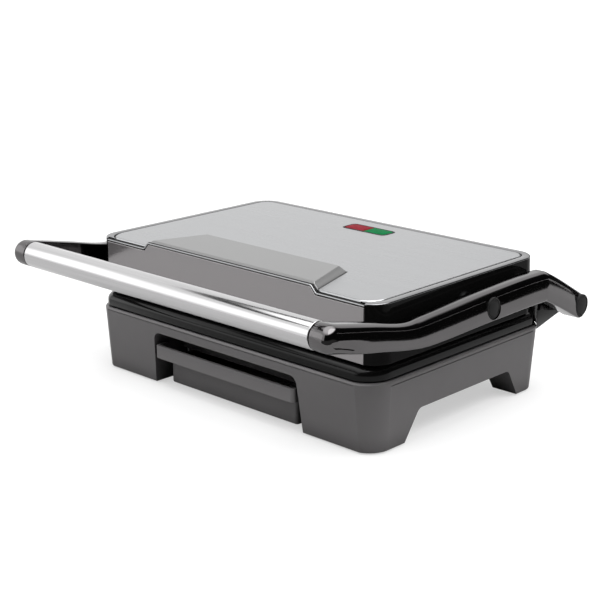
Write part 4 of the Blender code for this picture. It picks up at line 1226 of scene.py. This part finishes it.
def look_camera():
    """Long lens, in front and to the right of the press and a little above it."""
    camera = bpy.data.cameras.new("camera")
    camera.lens = CAMERA_LENS
    camera.sensor_width = 36.0
    camera.clip_start, camera.clip_end = 0.05, 60.0
    obj = linked("camera", camera)
    obj.location = CAMERA_AT
    obj.rotation_euler = (math.radians(90 - CAMERA_DIP), 0.0, math.radians(CAMERA_TURN))
    bpy.context.scene.camera = obj


def pale_floor():
    """A white table that runs far back and ends a little in front of the press."""
    reach, ahead = 14.0, 0.36
    towards = Vector((0.687, -0.727)).normalized()
    centre = towards * (ahead - reach)
    rim = arc(centre.x, centre.y, reach, 0, 4 * QUARTER, 256)[:-1]
    mesh = bpy.data.meshes.new("studio_floor")
    mesh.from_pydata([(x, y, 0.0) for x, y in rim], [], [tuple(range(len(rim)))])
    floor = linked("studio_floor", mesh)
    finish = Finish("studio_floor", (0.42, 0.42, 0.42), 0.0, 0.9, Specular_IOR_Level=0.0)
    cloud = finish.grain(3, 2.0)
    finish.drive("Base Color", finish.varied(cloud, (0.41, 0.41, 0.41), (0.43, 0.43, 0.43)))
    finish.shader.inputs["Emission Color"].default_value = (1.0, 1.0, 1.0, 1.0)
    seen = finish.node("ShaderNodeLightPath").outputs["Is Camera Ray"]
    finish.drive("Emission Strength", finish.between(seen, 0.0, 0.51, 0.0, 1.0))
    mesh.materials.append(finish.material)


class Sky:
    """The studio round the press, as light that depends only on direction."""

    def __init__(self):
        self.world = bpy.data.worlds.new("studio")
        bpy.context.scene.world = self.world
        self.world.use_nodes = True
        self.tree = self.world.node_tree
        self.direction = self.tree.nodes.new("ShaderNodeTexCoord").outputs["Generated"]

    def math(self, operation, *values, clamp=False):
        node = self.tree.nodes.new("ShaderNodeMath")
        node.operation = operation
        node.use_clamp = clamp
        for socket, value in zip(node.inputs, values):
            if isinstance(value, bpy.types.NodeSocket):
                self.tree.links.new(value, socket)
            else:
                socket.default_value = value
        return node.outputs[0]

    def along(self, axis):
        node = self.tree.nodes.new("ShaderNodeVectorMath")
        node.operation = "DOT_PRODUCT"
        self.tree.links.new(self.direction, node.inputs[0])
        node.inputs[1].default_value = axis
        return node.outputs["Value"]

    def ramp(self, value, start, end):
        """0 below start and 1 above end, eased in between."""
        node = self.tree.nodes.new("ShaderNodeMapRange")
        node.interpolation_type = "SMOOTHSTEP"
        self.tree.links.new(value, node.inputs["Value"])
        node.inputs["From Min"].default_value = start
        node.inputs["From Max"].default_value = end
        return node.outputs["Result"]

    def panel(self, azimuth, elevation, half_width, half_height, soft=4.0):
        """1 inside a patch of the sky, 0 outside. Azimuth runs from +Y towards +X, all in degrees."""
        a, e = math.radians(azimuth), math.radians(elevation)
        ahead = self.along((math.sin(a), math.cos(a), 0.0))
        sideways = self.math("ABSOLUTE", self.along((math.cos(a), -math.sin(a), 0.0)))
        swing = self.math("ARCTAN2", sideways, ahead)
        rise = self.math("ABSOLUTE", self.math("SUBTRACT", self.math("ARCSINE", self.along((0, 0, 1))), e))
        shares = []
        for angle, half in ((swing, half_width), (rise, half_height)):
            edge, blur = math.radians(half), math.radians(soft)
            shares.append(self.math("SUBTRACT", 1.0, self.ramp(angle, edge - blur, edge + blur)))
        return self.math("MULTIPLY", *shares)

    def mix(self, factor, first, second):
        kept = self.math("MULTIPLY", first, self.math("SUBTRACT", 1.0, factor))
        return self.math("ADD", kept, self.math("MULTIPLY", second, factor))


# azimuth, elevation, half width, half height and soft edge in degrees, and brightness
PATCHES = {
    "gap behind": (-12, 5, 20, 8, 4, 0.012),
    "dark strip high on the left": (285, 49, 50, 3.2, 1.5, 0.02),
    "fill in front on the left": (226, 20, 32, 15, 5, 1.8),
    "dark ground in front on the right": (120, -45, 76, 46, 3, 0.12),
}


def studio_light():
    """A white surround with a bright ceiling, a soft box on the right, and the patches.

    The dark gap on the right is wide in diffuse light and narrow in reflections. The camera sees white.
    """
    sky = Sky()
    ceiling = sky.ramp(sky.along((0, 0, 1)), 0.66, 0.92)
    light = sky.mix(ceiling, 1.08, 2.8)
    light = sky.mix(sky.panel(80, 64, 55, 18), light, 4.8)
    rays = sky.tree.nodes.new("ShaderNodeLightPath").outputs
    gap = sky.mix(rays["Is Diffuse Ray"], sky.panel(87, 19, 83, 23), sky.panel(142, 12, 36, 30))
    light = sky.mix(gap, light, 0.012)
    for *patch, brightness in PATCHES.values():
        light = sky.mix(sky.panel(*patch), light, brightness)
    light = sky.mix(rays["Is Camera Ray"], light, 1.0)
    background = sky.tree.nodes["Background"]
    sky.tree.links.new(light, background.inputs["Strength"])
    background.inputs["Color"].default_value = (1.0, 1.0, 1.0, 1.0)
    bpy.context.scene.view_settings.view_transform = "Standard"


# ---------------------------------------------------------------- build

base_shell()
base_bezel()
cord_bushing()
hinge_brackets()
hinge_pin_pieces()
grill_plate("lower_plate_casting", "lower_grill_plate", "base", PLATE_Z[1] - 8.0, 1)
grill_plate("upper_plate_casting", "upper_grill_plate", "lid", UPPER_Z[0] + 8.0, -1)
drip_tray_piece()
lid_shell()
top_trim()
lid_underside()
front_fascia()
fascia_bead("lid_bead", "brushed_steel", 0.45, 0.55)
# Painted shade: a dark matte strip behind the bead stands in for the shadow in the gaps above and below it.
fascia_bead("lid_bead_shadow_strip", "cap_matte", 0.85, 1.30)
crest_cover()
steel_sheet()
indicator_window()
pivot_pins()
for arm_suffix, arm_side in SIDES:
    handle_arm(arm_suffix, arm_side)
arm_caps()
grip_tube()
cover_screws()
carry_over()

look_camera()
pale_floor()
studio_light()
